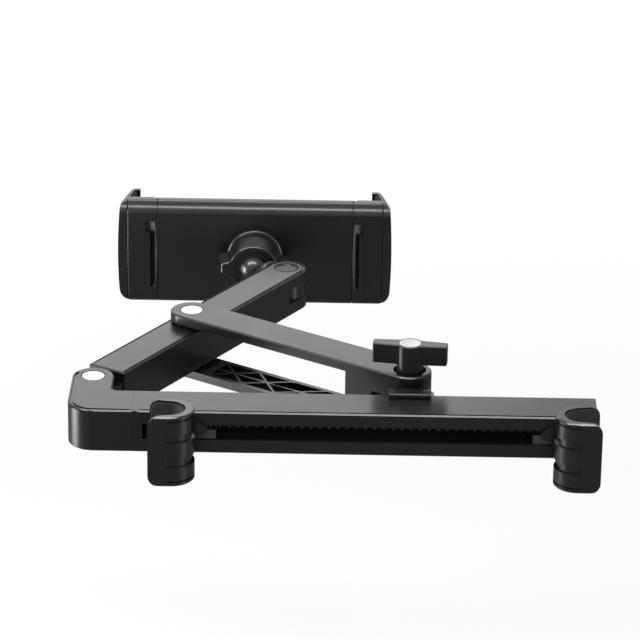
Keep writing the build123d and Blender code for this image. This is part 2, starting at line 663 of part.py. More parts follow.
# Brace: a fork that straddles the arm, with a solid head over the carriage and a ribbed lower plate
throat = BRACE_LENGTH - BRACE_BLOCK
with BuildPart() as brace_fork:
    with BuildSketch(brace_plane.offset(brace_bottom)):
        with Locations((BRACE_LENGTH / 2, 0)):
            SlotCenterToCenter(BRACE_LENGTH, BRACE_WIDTH)
    extrude(amount=brace_top - brace_bottom)
    brace_faces = brace_fork.faces().sort_by(Axis.Z)
    chamfer(brace_faces[0].edges() + brace_faces[-1].edges(), BRACE_EDGE)
    with BuildSketch(brace_plane.offset(-fork_half)):
        with Locations((throat - BRACE_LENGTH, 0)):
            Rectangle(2 * BRACE_LENGTH, 2 * BRACE_WIDTH)
    extrude(amount=2 * fork_half, mode=Mode.SUBTRACT)
    with BuildSketch(brace_plane.offset(brace_bottom)):
        with Locations((BRACE_LENGTH - BRACE_RELIEF + BRACE_WIDTH, 0)):
            Rectangle(2 * BRACE_WIDTH, 2 * BRACE_WIDTH)
    extrude(amount=head_bottom - brace_bottom, mode=Mode.SUBTRACT)
    pocket_width = BRACE_WIDTH - 2 * LATTICE_RAIL
    pocket_length = LATTICE_BAYS * LATTICE_BAY
    rib_angle = degrees(atan2(pocket_width, LATTICE_BAY))
    rib_length = hypot(pocket_width, LATTICE_BAY) + 2 * LATTICE_RIB
    with BuildSketch(brace_plane.offset(-fork_half)):
        with Locations((LATTICE_START + pocket_length / 2, 0)):
            Rectangle(pocket_length, pocket_width)
            Rectangle(pocket_length, LATTICE_RIB, mode=Mode.SUBTRACT)
            with GridLocations(LATTICE_BAY, LATTICE_BAY, LATTICE_BAYS, 1):
                Rectangle(rib_length, LATTICE_RIB, rotation=rib_angle, mode=Mode.SUBTRACT)
                Rectangle(rib_length, LATTICE_RIB, rotation=-rib_angle, mode=Mode.SUBTRACT)
    extrude(amount=-LATTICE_DEPTH, mode=Mode.SUBTRACT)
    cylinder(brace_pivot, brace_bottom, brace_top, PIN_RADIUS + PRESS, Mode.SUBTRACT)
    high_seat = brace_top - PIN_CAP
    low_seat = brace_bottom + PIN_CAP
    cylinder(brace_pivot, high_seat, brace_top, PIN_CAP_RADIUS + SLIDING, Mode.SUBTRACT)
    cylinder(brace_pivot, brace_bottom, low_seat, PIN_CAP_RADIUS + SLIDING, Mode.SUBTRACT)
    cylinder(clamp, head_bottom, brace_top, STUD_RADIUS + STUD_SLACK, Mode.SUBTRACT)
    cylinder(clamp, brace_top - SEAT_DEPTH, brace_top, SEAT_RADIUS, Mode.SUBTRACT)
save(brace_fork, "brace_fork")

with BuildPart() as brace_pin:
    cylinder(brace_pivot, low_seat, high_seat, PIN_RADIUS)
save(brace_pin, "brace_pin")

with BuildPart() as brace_pin_caps:
    for low, high in ((high_seat, brace_top), (brace_bottom, low_seat)):
        cylinder(brace_pivot, low, high, PIN_CAP_RADIUS)
save(brace_pin_caps, "brace_pin_caps")

with BuildPart() as brace_washers:
    for low in (ARM_HEIGHT / 2 + TOUCH, -ARM_HEIGHT / 2 - TOUCH - WASHER):
        cylinder(brace_pivot, low, low + WASHER, WASHER_RADIUS)
        cylinder(brace_pivot, low, low + WASHER, PIN_RADIUS + PRESS, Mode.SUBTRACT)
save(brace_washers, "brace_washers")

# Carriage: boss under the brace's head, a wall with a lip over the beam and a tongue in its groove
lug_top = head_bottom - 2 * TOUCH
wall_front = beam_back + SLIDING
with BuildPart() as carriage:
    with BuildSketch(Plane.XY.offset(-beam_top)):
        with Locations(clamp):
            Circle(CARRIAGE_BOSS)
        with Locations((clamp[0], (wall_front + clamp[1]) / 2)):
            Rectangle(2 * CARRIAGE_BOSS, clamp[1] - wall_front)
    extrude(amount=lug_top + beam_top)
    chamfer(carriage.faces().sort_by(Axis.Z)[-1].edges(), CARRIAGE_EDGE)
    with BuildSketch(Plane.YZ.offset(clamp[0] - CARRIAGE_WIDTH / 2)) as wall:
        lip_low = beam_top + SLIDING
        lip_high = lip_low + CARRIAGE_LIP_HEIGHT
        with BuildLine():
            Polyline(
                (wall_front + CARRIAGE_WALL, 0),
                (wall_front, 0),
                (wall_front, lip_low),
                (beam_back - CARRIAGE_LIP, lip_low),
                (beam_back - CARRIAGE_LIP, lip_high),
                (wall_front + CARRIAGE_WALL, lip_high),
                close=True,
            )
        make_face()
        for lip_y in (beam_back - CARRIAGE_LIP, wall_front + CARRIAGE_WALL):
            fillet(wall.vertices().sort_by_distance((lip_y, lip_high))[0], CARRIAGE_LIP_HEIGHT / 2)
    extrude(amount=CARRIAGE_WIDTH)
    tongue_half = RAIL_HEIGHT / 2 - SLIDING
    block(
        (clamp[0] - CARRIAGE_BOSS, clamp[0] + CARRIAGE_BOSS),
        (beam_back - CARRIAGE_TONGUE, wall_front + 1),
        (-tongue_half, tongue_half),
    )
    cylinder(clamp, -beam_top, lug_top, STUD_RADIUS + STUD_SLACK, Mode.SUBTRACT)
    with BuildSketch(Plane.XY.offset(-beam_top)):
        with Locations(clamp):
            RegularPolygon(NUT_FLATS / 2 + PRESS, 6, major_radius=False)
    extrude(amount=NUT_HEIGHT, mode=Mode.SUBTRACT)
save(carriage, "carriage")

with BuildPart() as clamp_nut:
    with BuildSketch(Plane.XY.offset(-beam_top)):
        with Locations(clamp):
            RegularPolygon(NUT_FLATS / 2, 6, major_radius=False)
            Circle(STUD_RADIUS + RUNNING, mode=Mode.SUBTRACT)
    extrude(amount=NUT_HEIGHT - PRESS)
save(clamp_nut, "clamp_nut")

# Wing knob with its stud and cap
stem_low = brace_top - SEAT_DEPTH + 2 * TOUCH
wing_low = stem_low + KNOB_STEM
knob_top = wing_low + KNOB_WING
knob_seat = knob_top - PIN_CAP
stud_top = wing_low + KNOB_WING / 2
with BuildPart() as wing_knob:
    with BuildSketch(knob_plane.offset(wing_low)) as wings:
        Polygon(
            (-KNOB_SPAN / 2, -KNOB_TIP / 2),
            (0, -KNOB_ROOT / 2),
            (KNOB_SPAN / 2, -KNOB_TIP / 2),
            (KNOB_SPAN / 2, KNOB_TIP / 2),
            (0, KNOB_ROOT / 2),
            (-KNOB_SPAN / 2, KNOB_TIP / 2),
        )
        Circle(KNOB_HUB)
        tips = wings.vertices().filter_by(lambda tip: abs(tip.X) > KNOB_SPAN / 2 - TOUCH)
        fillet(tips, KNOB_ROUND)
    extrude(amount=KNOB_WING)
    knob_faces = wing_knob.faces().sort_by(Axis.Z)
    fillet(knob_faces[0].edges() + knob_faces[-1].edges(), KNOB_ROUND / 2)
    cylinder(clamp, stem_low, wing_low + KNOB_WING / 2, KNOB_HUB)
    cylinder(clamp, knob_seat, knob_top, KNOB_CAP_RADIUS + PRESS, Mode.SUBTRACT)
    cylinder(clamp, stem_low, stud_top, STUD_RADIUS + PRESS, Mode.SUBTRACT)
save(wing_knob, "wing_knob")

with BuildPart() as knob_cap:
    cylinder(clamp, knob_seat, knob_top + TOUCH, KNOB_CAP_RADIUS)
save(knob_cap, "knob_cap")

with BuildPart() as clamp_stud:
    cylinder(clamp, -beam_top, stud_top - PRESS, STUD_RADIUS)
save(clamp_stud, "clamp_stud")

# Ball link: knuckle, flange and ball turned and moulded as one piece
ball_start = LINK_LENGTH - BALL_RADIUS
with BuildPart() as ball_link:
    knuckle_half = CLEVIS_GAP / 2 - 2 * TOUCH
    cylinder(swivel, -knuckle_half, knuckle_half, KNUCKLE_RADIUS)
    with BuildSketch(link_plane.offset(-knuckle_half)):
        with Locations((FLANGE_START / 2, 0)):
            Rectangle(FLANGE_START + PRESS, LINK_NECK)
    extrude(amount=2 * knuckle_half)
    with BuildSketch(link_plane):
        rim = FLANGE / 4
        with BuildLine():
            Polyline(
                (FLANGE_START, 0),
                (FLANGE_START, FLANGE_RADIUS - rim),
                (FLANGE_START + rim, FLANGE_RADIUS),
                (FLANGE_START + FLANGE - rim, FLANGE_RADIUS),
                (FLANGE_START + FLANGE, FLANGE_RADIUS - rim),
                (FLANGE_START + FLANGE, STUD_NECK),
                (ball_start + BALL_RADIUS / 2, STUD_NECK),
                (ball_start + BALL_RADIUS / 2, 0),
                close=True,
            )
        make_face()
    revolve(axis=Axis((*swivel, 0), (*link_way, 0)))
    with Locations(ball):
        Sphere(BALL_RADIUS)
    cylinder(swivel, -knuckle_half, knuckle_half, PIN_RADIUS + RUNNING, Mode.SUBTRACT)
save(ball_link, "ball_link")

# Ball seats: two spherical zones between the ball and its socket
seat_inner = BALL_RADIUS + SEAT_GAP
seat_outer = seat_inner + SEAT_WALL
socket = seat_outer + SLIDING
zones = {"ball_ring": (-RING_FRONT, RING_BACK), "ball_cup": (CUP_FRONT, socket)}
for label, (front, back) in zones.items():
    with BuildPart() as seat:
        with Locations(ball):
            Sphere(seat_outer)
            Sphere(seat_inner, mode=Mode.SUBTRACT)
        with Locations((ball[0], ball[1] + (front + back) / 2, 0)):
            Box(4 * socket, back - front, 4 * socket, mode=Mode.INTERSECT)
    save(seat, label)

# Lock nut: lobed collar that closes over the front of the socket
lock_face = ball[1] - LOCK_FRONT
lock_back = lock_face + LOCK_LENGTH
with BuildPart() as ball_nut:
    with BuildSketch(Plane(origin=(ball[0], lock_face, 0), x_dir=(1, 0, 0), z_dir=(0, -1, 0))) as lobes:
        Circle(LOCK_RADIUS)
        with PolarLocations(0, LOCK_LOBES, start_angle=LOCK_LOBE_TURN):
            Polygon(
                (0, -LOCK_LOBE_ROOT / 2),
                (LOCK_RADIUS * 0.8, -LOCK_LOBE_ROOT / 2),
                (LOCK_LOBE, -LOCK_LOBE_TIP / 2),
                (LOCK_LOBE, LOCK_LOBE_TIP / 2),
                (LOCK_RADIUS * 0.8, LOCK_LOBE_ROOT / 2),
                (0, LOCK_LOBE_ROOT / 2),
                align=None,
            )
        roots = lobes.vertices().filter_by(lambda spot: abs(hypot(spot.X, spot.Y) - LOCK_RADIUS) < TOUCH)
        fillet(roots, LOCK_LOBE - LOCK_RADIUS)
    extrude(amount=-LOCK_LENGTH, taper=-LOCK_DRAFT)
    chamfer(ball_nut.faces().sort_by(Axis.Y)[0].edges(), LOCK_EDGE)
    round_rod((ball[0], 0), lock_face, lock_back, LOCK_OPENING, Mode.SUBTRACT)
    round_rod((ball[0], 0), lock_face + LOCK_LIP, lock_back, SPIGOT_RADIUS + SLIDING, Mode.SUBTRACT)
    with Locations(ball):
        Sphere(socket, mode=Mode.SUBTRACT)
save(ball_nut, "ball_nut")

# Tablet holder body
holder_x = ball[0]
body_half = HOLDER_BODY / 2
holder_half = HOLDER_HEIGHT / 2
holder_back = ball[1] + HOLDER_BACK
cavity_start = holder_back + HOLDER_WALL
near_plate = cavity_start + SLIDING
far_plate = near_plate + SLIDE_PLATE + SLIDING
plate_back = far_plate + SLIDE_PLATE + SLIDING
plate_front = plate_back + PLATE
lap_back = plate_back + PLATE / 2
cavity_half = holder_half - HOLDER_RIM
spring_height = cavity_half - SPRING_MARGIN - SPRING_RADIUS
spring_depth = (cavity_start + plate_back) / 2


def holder_profile(front, seam):
    """Crowned back of the holder in the YZ plane, closed by a flat whose two corners are cut by a seam."""
    shoulder = holder_back + HOLDER_CROWN
    turn = holder_half - HOLDER_ROUND
    corner = HOLDER_ROUND * (1 - cos(radians(45)))
    notch = [(front, holder_half)]
    if seam:
        notch = [(front - seam, holder_half), (front - seam, holder_half - seam), (front, holder_half - seam)]
    with BuildSketch(Plane.YZ) as profile:
        with BuildLine():
            Polyline(
                (shoulder + HOLDER_ROUND, holder_half),
                *notch,
                *[(depth, -height) for depth, height in reversed(notch)],
                (shoulder + HOLDER_ROUND, -holder_half),
            )
            ThreePointArc(
                (shoulder + HOLDER_ROUND, -holder_half),
                (shoulder + corner, corner - holder_half),
                (shoulder, -turn),
            )
            ThreePointArc((shoulder, -turn), (holder_back, 0), (shoulder, turn))
            ThreePointArc(
                (shoulder, turn),
                (shoulder + corner, holder_half - corner),
                (shoulder + HOLDER_ROUND, holder_half),
            )
        make_face()
    return profile.sketch


screw_places = [(holder_x - SCREW_SPREAD / 2, 0), (holder_x + SCREW_SPREAD / 2, 0)]
with BuildPart() as holder_shell:
    shell_profile = holder_profile(plate_back, HOLDER_SEAM).moved(Location((holder_x - body_half, 0, 0)))
    extrude(shell_profile, amount=HOLDER_BODY, dir=(1, 0, 0))
    block(
        (holder_x - body_half, holder_x + body_half),
        (cavity_start, plate_back),
        (-cavity_half, cavity_half),
        Mode.SUBTRACT,
    )
    boss_front = lock_back + SLIDING
    spigot_front = lock_face + LOCK_LIP + SLIDING
    round_rod((holder_x, 0), boss_front, holder_back + HOLDER_WALL / 2, BOSS_RADIUS)
    round_rod((holder_x, 0), spigot_front, boss_front, SPIGOT_RADIUS)
    for place in screw_places:
        round_rod(place, holder_back + HOLDER_WALL / 2, plate_back, SCREW_BOSS)
        round_rod(place, cavity_start, plate_back, SCREW_RADIUS + PRESS, Mode.SUBTRACT)
    for out in SIDES.values():
        anchor = (holder_x - out * SPRING_ANCHOR, -out * spring_height)
        round_rod(anchor, holder_back + HOLDER_WALL / 2, plate_back - SLIDING, SPRING_RADIUS)
    boss_foot = holder_shell.edges().filter_by(
        lambda edge: edge.center().Y > boss_front + TOUCH and edge.center().Y < cavity_start - TOUCH
    )
    fillet(boss_foot.filter_by(lambda edge: abs(edge.length - 2 * pi * BOSS_RADIUS) < 1), BOSS_FILLET)
    with Locations(ball):
        Sphere(socket, mode=Mode.SUBTRACT)
save(holder_shell, "holder_shell")

with BuildPart() as front_plate:
    with BuildSketch(Plane.XZ.offset(-plate_back)):
        with Locations((holder_x, 0)):
            Rectangle(HOLDER_BODY, HOLDER_HEIGHT)
    extrude(amount=-PLATE)
    block(
        (holder_x - body_half - PLATE_LAP, holder_x + body_half + PLATE_LAP),
        (lap_back, plate_front),
        (-holder_half, holder_half),
    )
    plate_rim = front_plate.faces().sort_by(Axis.Y)[-1].edges().filter_by(Axis.X)
    chamfer(plate_rim, PLATE_EDGE)
    for place in screw_places:
        round_rod(place, plate_back, plate_front, SCREW_RADIUS + PRESS, Mode.SUBTRACT)
        round_rod(place, plate_front - SCREW_RADIUS, plate_front, SCREW_HEAD + PRESS, Mode.SUBTRACT)
save(front_plate, "front_plate")

with BuildPart() as plate_screws:
    for place in screw_places:
        round_rod(place, cavity_start + PRESS, plate_front - SCREW_RADIUS, SCREW_RADIUS)
        round_rod(place, plate_front - SCREW_RADIUS, plate_front - PRESS, SCREW_HEAD)
save(plate_screws, "plate_screws")

with BuildPart() as front_pad:
    with BuildSketch(Plane.XZ.offset(-plate_front)) as pad_face:
        with Locations((holder_x, 0)):
            RectangleRounded(
                HOLDER_BODY - 2 * FRONT_PAD_MARGIN,
                HOLDER_HEIGHT - 2 * FRONT_PAD_MARGIN,
                FRONT_PAD_MARGIN,
            )
    extrude(amount=-FRONT_PAD)
save(front_pad, "front_pad")

# Holder wings, with the slide plates and springs that draw them in
wing_front = plate_front + WING_SIDE
for side, out in SIDES.items():
    seam_x = holder_x + out * (body_half + WING_GAP)
    outer_x = holder_x + out * (body_half + WING_WIDTH - WING_BULGE)
    jaw_x = holder_x + out * (body_half + WING_WIDTH - WING_JAW)
    bulge_x = outer_x + out * WING_BULGE

    with BuildSketch(Plane.XZ) as wing_outline:
        with BuildLine():
            Polyline(
                (outer_x, -holder_half), (seam_x, -holder_half), (seam_x, holder_half), (outer_x, holder_half)
            )
            ThreePointArc((outer_x, holder_half), (bulge_x, 0), (outer_x, -holder_half))
        make_face()
        fillet(wing_outline.vertices().sort_by_distance((outer_x, holder_half))[0], WING_TOP_ROUND)
        fillet(wing_outline.vertices().sort_by_distance((outer_x, -holder_half))[0], WING_LOW_ROUND)
    wing_sheet = wing_outline.sketch.moved(Location((0, holder_back - 1, 0)))
    wing_depth = wing_front - holder_back + 2

    with BuildPart() as wing_cover:
        cover_profile = holder_profile(plate_back - PRESS, HOLDER_SEAM).moved(Location((seam_x, 0, 0)))
        extrude(cover_profile, amount=abs(jaw_x - seam_x) - WING_SEAM, dir=(out, 0, 0))
        extrude(wing_sheet, amount=wing_depth, dir=(0, 1, 0), mode=Mode.INTERSECT)
        block(
            (seam_x, jaw_x - out * (WING_SEAM + HOLDER_RIM / 2)),
            (cavity_start, plate_back),
            (-cavity_half, cavity_half),
            Mode.SUBTRACT,
        )
        grip_x = seam_x + out * GRIP_WIDTH
        grip_height = HOLDER_HEIGHT - 2 * GRIP_MARGIN
        rib_height = grip_height - GRIP_RIB_DROP
        with BuildSketch(Plane.XY.offset(-grip_height / 2)):
            Polygon(
                (seam_x - out * PRESS, holder_back + PRESS),
                (seam_x - out * PRESS, holder_back - 1),
                (grip_x, holder_back - 1),
                (grip_x, holder_back + GRIP_DEPTH),
                (grip_x - out * GRIP_RIB, holder_back + GRIP_DEPTH),
                align=None,
            )
        extrude(amount=grip_height, mode=Mode.SUBTRACT)
        with BuildSketch(Plane.XZ.offset(-(holder_back + GRIP_DEPTH + PRESS))) as grip:
            with Locations((grip_x - out * GRIP_RIB / 2, (rib_height - grip_height) / 2)):
                RectangleRounded(GRIP_RIB, rib_height, GRIP_RIB / 3)
        extrude(amount=GRIP_DEPTH + GRIP_RIB_RISE + PRESS)
    save(wing_cover, f"{side}_wing_cover")

    lip_back = wing_front - WING_LIP_THICKNESS
    lean = WING_LEAN / (wing_front - plate_back)
    low_x = jaw_x - out * lean * PLATE
    high_x = jaw_x - out * lean * (lip_back - plate_back)
    lip_x = high_x - out * WING_LIP
    with BuildPart() as wing_jaw:
        jaw_profile = holder_profile(plate_back, 0).moved(Location((jaw_x, 0, 0)))
        extrude(jaw_profile, amount=2 * WING_JAW, dir=(out, 0, 0))
        extrude(wing_sheet, amount=wing_depth, dir=(0, 1, 0), mode=Mode.INTERSECT)
        jaw_sheet = wing_outline.sketch.moved(Location((0, plate_back, 0)))
        tip_way = Vector(-out * WING_LEAN, wing_front - plate_back, 0)
        extrude(jaw_sheet, amount=tip_way.length, dir=tip_way.normalized())
        block(
            (seam_x, seam_x - out * 2 * WING_LEAN),
            (plate_back - 1, wing_front + 1),
            (-holder_half - 1, holder_half + 1),
            Mode.SUBTRACT,
        )
        block(
            (seam_x - out * PLATE_LAP, seam_x + out * PLATE_LAP),
            (lap_back - SLIDING, plate_front + 1),
            (-holder_half - 1, holder_half + 1),
            Mode.SUBTRACT,
        )
        with BuildSketch(Plane.XY.offset(-holder_half - 1)):
            Polygon(
                (seam_x - out * 1, plate_front),
                (low_x, plate_front),
                (high_x, lip_back),
                (lip_x, lip_back),
                (lip_x, wing_front + 1),
                (seam_x - out * 1, wing_front + 1),
                align=None,
            )
        extrude(amount=HOLDER_HEIGHT + 2, mode=Mode.SUBTRACT)
    save(wing_jaw, f"{side}_wing_jaw")

    with BuildPart() as wing_pad:
        with BuildSketch(Plane.XY.offset(-holder_half + WING_LOW_ROUND)):
            Polygon(
                (low_x - out * PRESS, plate_front + PRESS),
                (high_x - out * PRESS, lip_back - PRESS),
                (high_x - out * WING_PAD, lip_back - PRESS),
                (low_x - out * WING_PAD, plate_front + PRESS),
                align=None,
            )
        extrude(amount=HOLDER_HEIGHT - WING_LOW_ROUND - WING_PAD_MARGIN)
    save(wing_pad, f"{side}_wing_pad")

    with BuildPart() as slide_plate:
        plate_start = near_plate if out < 0 else far_plate
        root_x = jaw_x - out * (WING_SEAM + HOLDER_RIM / 2 + PRESS)
        end_x = seam_x - out * SLIDE_PLATE_REACH
        slot_x = holder_x + out * (SCREW_SPREAD / 2 + SLIDE_PLATE_SLOT / 2)
        slide_half = spring_height - SPRING_RADIUS - SLIDE_PLATE_MARGIN
        lug_x = holder_x + out * SPRING_LUG
        lug_high = spring_height + SPRING_RADIUS
        with BuildSketch(Plane.XZ.offset(-plate_start)):
            with Locations(((root_x + end_x) / 2, 0)):
                Rectangle(abs(root_x - end_x), 2 * slide_half)
            with Locations(((slot_x + end_x) / 2, 0)):
                Rectangle(abs(slot_x - end_x), SLIDE_PLATE_SLOT, mode=Mode.SUBTRACT)
            with Locations((lug_x + out * SPRING_RADIUS, -out * lug_high / 2)):
                Rectangle(2 * SPRING_RADIUS, lug_high)
        extrude(amount=-SLIDE_PLATE)
    save(slide_plate, f"{side}_slide_plate")

    with BuildPart() as spring:
        start_x = holder_x + out * (SPRING_LUG - SLIDING)
        finish_x = holder_x - out * (SPRING_ANCHOR - SPRING_RADIUS - SLIDING)
        with BuildSketch(Plane.YZ.offset(start_x)):
            with Locations((spring_depth, -out * spring_height)):
                Circle(SPRING_RADIUS)
                Circle(SPRING_RADIUS - SPRING_WIRE, mode=Mode.SUBTRACT)
        extrude(amount=finish_x - start_x)
    save(spring, f"{side}_spring")
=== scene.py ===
# %% [markdown]
# # Headrest tablet mount
# This lesson dresses a folding tablet mount for the back of a car seat. Its solids come in ready made and
# stay where they are, in metres. Each step below takes one family of pieces, says what it is on the real
# mount and gives it the rolled edges, ribs and finishes that the eye expects.

# %% Load the solids and keep their box
import json
import math
from functools import partial

import bmesh
import bpy
from mathutils import Matrix, Vector


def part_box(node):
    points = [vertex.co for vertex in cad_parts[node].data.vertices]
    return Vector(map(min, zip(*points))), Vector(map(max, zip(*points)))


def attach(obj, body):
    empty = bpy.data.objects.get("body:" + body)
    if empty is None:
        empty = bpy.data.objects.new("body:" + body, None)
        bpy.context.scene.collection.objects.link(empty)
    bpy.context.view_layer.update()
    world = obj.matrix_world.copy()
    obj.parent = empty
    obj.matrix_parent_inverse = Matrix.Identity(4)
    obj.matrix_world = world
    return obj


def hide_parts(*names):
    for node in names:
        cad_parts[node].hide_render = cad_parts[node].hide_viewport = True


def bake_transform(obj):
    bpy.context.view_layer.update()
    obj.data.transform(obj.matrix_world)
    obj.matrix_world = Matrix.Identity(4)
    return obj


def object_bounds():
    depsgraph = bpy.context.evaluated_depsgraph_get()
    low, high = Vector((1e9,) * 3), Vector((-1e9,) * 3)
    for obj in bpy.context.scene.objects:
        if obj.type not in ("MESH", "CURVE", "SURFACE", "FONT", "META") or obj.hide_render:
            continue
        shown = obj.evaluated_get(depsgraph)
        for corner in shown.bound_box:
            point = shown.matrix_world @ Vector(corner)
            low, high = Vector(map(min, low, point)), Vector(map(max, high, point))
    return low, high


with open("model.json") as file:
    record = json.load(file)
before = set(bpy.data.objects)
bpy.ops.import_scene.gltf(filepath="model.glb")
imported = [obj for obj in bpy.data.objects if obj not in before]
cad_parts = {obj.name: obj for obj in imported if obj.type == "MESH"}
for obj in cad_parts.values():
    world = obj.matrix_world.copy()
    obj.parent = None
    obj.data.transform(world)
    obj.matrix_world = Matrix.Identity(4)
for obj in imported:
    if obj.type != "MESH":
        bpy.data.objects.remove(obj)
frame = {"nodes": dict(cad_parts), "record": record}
solid_box = [list(corner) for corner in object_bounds()]
scene = bpy.context.scene
scene.view_settings.view_transform = "Standard"
MM = 0.001
UP = Vector((0, 0, 1))

# %% [markdown]
# ## Colours and shader nodes
# Colours are written as sRGB hex values, the way a colour chart gives them, and Blender wants linear light.
# One function turns one into the other. A second one adds a shader node: it takes the node's settings, and
# for each input either a value or the socket that feeds it, so that a material reads from top to bottom. A
# Mix node gives its number, vector and colour sockets the same names, so its colour sockets go by number.

# %% Colour and node helpers
MIX_FACTOR, MIX_A, MIX_B, MIX_COLOUR = 0, 6, 7, 2


def linear(code):
    """Turn an sRGB hex colour into linear RGBA."""
    parts = [int(code[i : i + 2], 16) / 255 for i in (1, 3, 5)]
    return [p / 12.92 if p <= 0.04045 else ((p + 0.055) / 1.055) ** 2.4 for p in parts] + [1]


def add(tree, kind, inputs=None, **settings):
    """Add one node, set it up, and fill or link its inputs."""
    node = tree.nodes.new(kind)
    for name, value in settings.items():
        setattr(node, name, value)
    for name, value in (inputs or {}).items():
        if isinstance(value, bpy.types.NodeSocket):
            tree.links.new(value, node.inputs[name])
        else:
            node.inputs[name].default_value = value
    return node


def fresh(name):
    """Start an empty material and return it with its node tree."""
    material = bpy.data.materials.new(name)
    material.use_nodes = True
    material.node_tree.nodes.clear()
    return material, material.node_tree


print("a black plastic in linear light", linear("#0f0f10")[:3])

# %% [markdown]
# ## Moulded plastic
# Nearly all of the mount is injection moulded, and a moulded surface copies the steel of its tool. Noise in
# the bump gives the tool's grain, and works from any side, where a picture would need unwrapped faces. A slow
# second noise stands for the slight change of gloss where the plastic flowed and cooled. The real grain is
# about 0.15 mm, too fine to show here, so it is drawn about three times as coarse.

# %% Plastic from a mould
FLOW_MM = 18.0
PLASTIC_IOR = 1.53


def moulded(name, colours, roughness, gloss_spread, grain_mm, depth_mm, specular):
    """Injection moulded plastic with the grain of its tool."""
    material, tree = fresh(name)
    place = add(tree, "ShaderNodeTexCoord").outputs["Object"]
    grain = add(tree, "ShaderNodeTexNoise", {"Vector": place, "Scale": 1 / (grain_mm * MM), "Detail": 3.0})
    flow = add(tree, "ShaderNodeTexNoise", {"Vector": place, "Scale": 1 / (FLOW_MM * MM), "Detail": 2.0})
    low, high = roughness - gloss_spread, roughness + gloss_spread
    gloss = add(tree, "ShaderNodeMapRange", {"Value": flow.outputs["Fac"], "To Min": low, "To Max": high})
    tint = add(
        tree,
        "ShaderNodeMix",
        {MIX_FACTOR: grain.outputs["Fac"], MIX_A: linear(colours[0]), MIX_B: linear(colours[1])},
        data_type="RGBA",
    )
    relief = add(tree, "ShaderNodeBump", {"Height": grain.outputs["Fac"], "Distance": depth_mm * MM})
    shader = add(
        tree,
        "ShaderNodeBsdfPrincipled",
        {
            "Base Color": tint.outputs[MIX_COLOUR],
            "Roughness": gloss.outputs["Result"],
            "Specular IOR Level": specular,
            "IOR": PLASTIC_IOR,
            "Normal": relief.outputs["Normal"],
        },
    )
    add(tree, "ShaderNodeOutputMaterial", {"Surface": shader.outputs["BSDF"]})
    return material


# Spark eroded tool: an even grain that scatters reflections, so tops look grey and upright faces black.
abs_grained = moulded(
    "abs_black_spark_eroded",
    ("#09090a", "#0f0f10"),
    roughness=0.3,
    gloss_spread=0.03,
    grain_mm=0.4,
    depth_mm=0.014,
    specular=0.42,
)
# Polished tool, for the hooks: hardly any grain, so their noses carry tighter highlights.
abs_smooth = moulded(
    "abs_black_polished_tool",
    ("#0a0a0b", "#101011"),
    roughness=0.24,
    gloss_spread=0.03,
    grain_mm=0.6,
    depth_mm=0.008,
    specular=0.5,
)
print("housings", abs_grained.name, "hooks", abs_smooth.name)

# %% [markdown]
# ## Sliding plastic
# The rack, shoes, washers, slide plates and ball seats are acetal, which slides without oil. It comes from
# the same kind of tool as the housings, so the same function makes it, with the duller, waxy gloss that tells
# it from ABS. The ball link is acetal too, turned and then tumbled with fine stones until it shines.

# %% Acetal in black and grey
waxy = {"roughness": 0.4, "gloss_spread": 0.04, "grain_mm": 0.6, "depth_mm": 0.01, "specular": 0.4}
# Black, as moulded: dull enough to sink back between the glossier housings.
acetal_guide = moulded(
    "acetal_black_moulded", ("#0e0e0f", "#151516"), **{**waxy, "roughness": 0.42, "specular": 0.3}
)
# Tumbled: a clear round highlight on the ball.
acetal_ball = moulded(
    "acetal_black_turned_and_tumbled",
    ("#0c0c0d", "#121213"),
    roughness=0.25,
    gloss_spread=0.03,
    grain_mm=0.8,
    depth_mm=0.004,
    specular=0.5,
)
# Grey, as moulded: the shoes stand out from the dark slot.
acetal_shoe = moulded("acetal_grey_moulded", ("#343436", "#404042"), **waxy)
# Painted light: the rack is black acetal drawn dark grey, so that its teeth show in the shade of the slot.
acetal_rack_painted_light = moulded("acetal_black_painted_lighter", ("#1b1b1c", "#242425"), **waxy)
print("acetal", [m.name for m in (acetal_guide, acetal_ball, acetal_shoe, acetal_rack_painted_light)])

# %% [markdown]
# ## Rubber
# The pads that touch the posts and the tablet are moulded nitrile rubber, filled with soot. It is very matt,
# and a soft mottle keeps the wide pad from looking like paint. One noise drives both the shade and the
# relief, so that hollows are also the darker spots.

# %% Nitrile rubber
MOTTLE_MM = 0.7
MOTTLE_DEPTH_MM = 0.03
rubber, tree = fresh("nitrile_rubber_moulded")
place = add(tree, "ShaderNodeTexCoord").outputs["Object"]
mottle = add(tree, "ShaderNodeTexNoise", {"Vector": place, "Scale": 1 / (MOTTLE_MM * MM), "Detail": 4.0})
shade = add(
    tree,
    "ShaderNodeMix",
    {MIX_FACTOR: mottle.outputs["Fac"], MIX_A: linear("#111111"), MIX_B: linear("#1b1b1b")},
    data_type="RGBA",
)
relief = add(tree, "ShaderNodeBump", {"Height": mottle.outputs["Fac"], "Distance": MOTTLE_DEPTH_MM * MM})
shader = add(
    tree,
    "ShaderNodeBsdfPrincipled",
    {
        "Base Color": shade.outputs[MIX_COLOUR],
        "Roughness": 0.78,
        "IOR": 1.52,
        "Specular IOR Level": 0.3,
        "Normal": relief.outputs["Normal"],
    },
)
add(tree, "ShaderNodeOutputMaterial", {"Surface": shader.outputs["BSDF"]})
print("rubber", rubber.name, "mottle of", MOTTLE_MM, "mm")

# %% [markdown]
# ## Plated steel
# Pins, nut, screws and springs are steel with a coat of zinc. The coat is bright but a little cloudy, so the
# roughness wanders with a noise of about a millimetre and a half, and the colour stays the same all over.

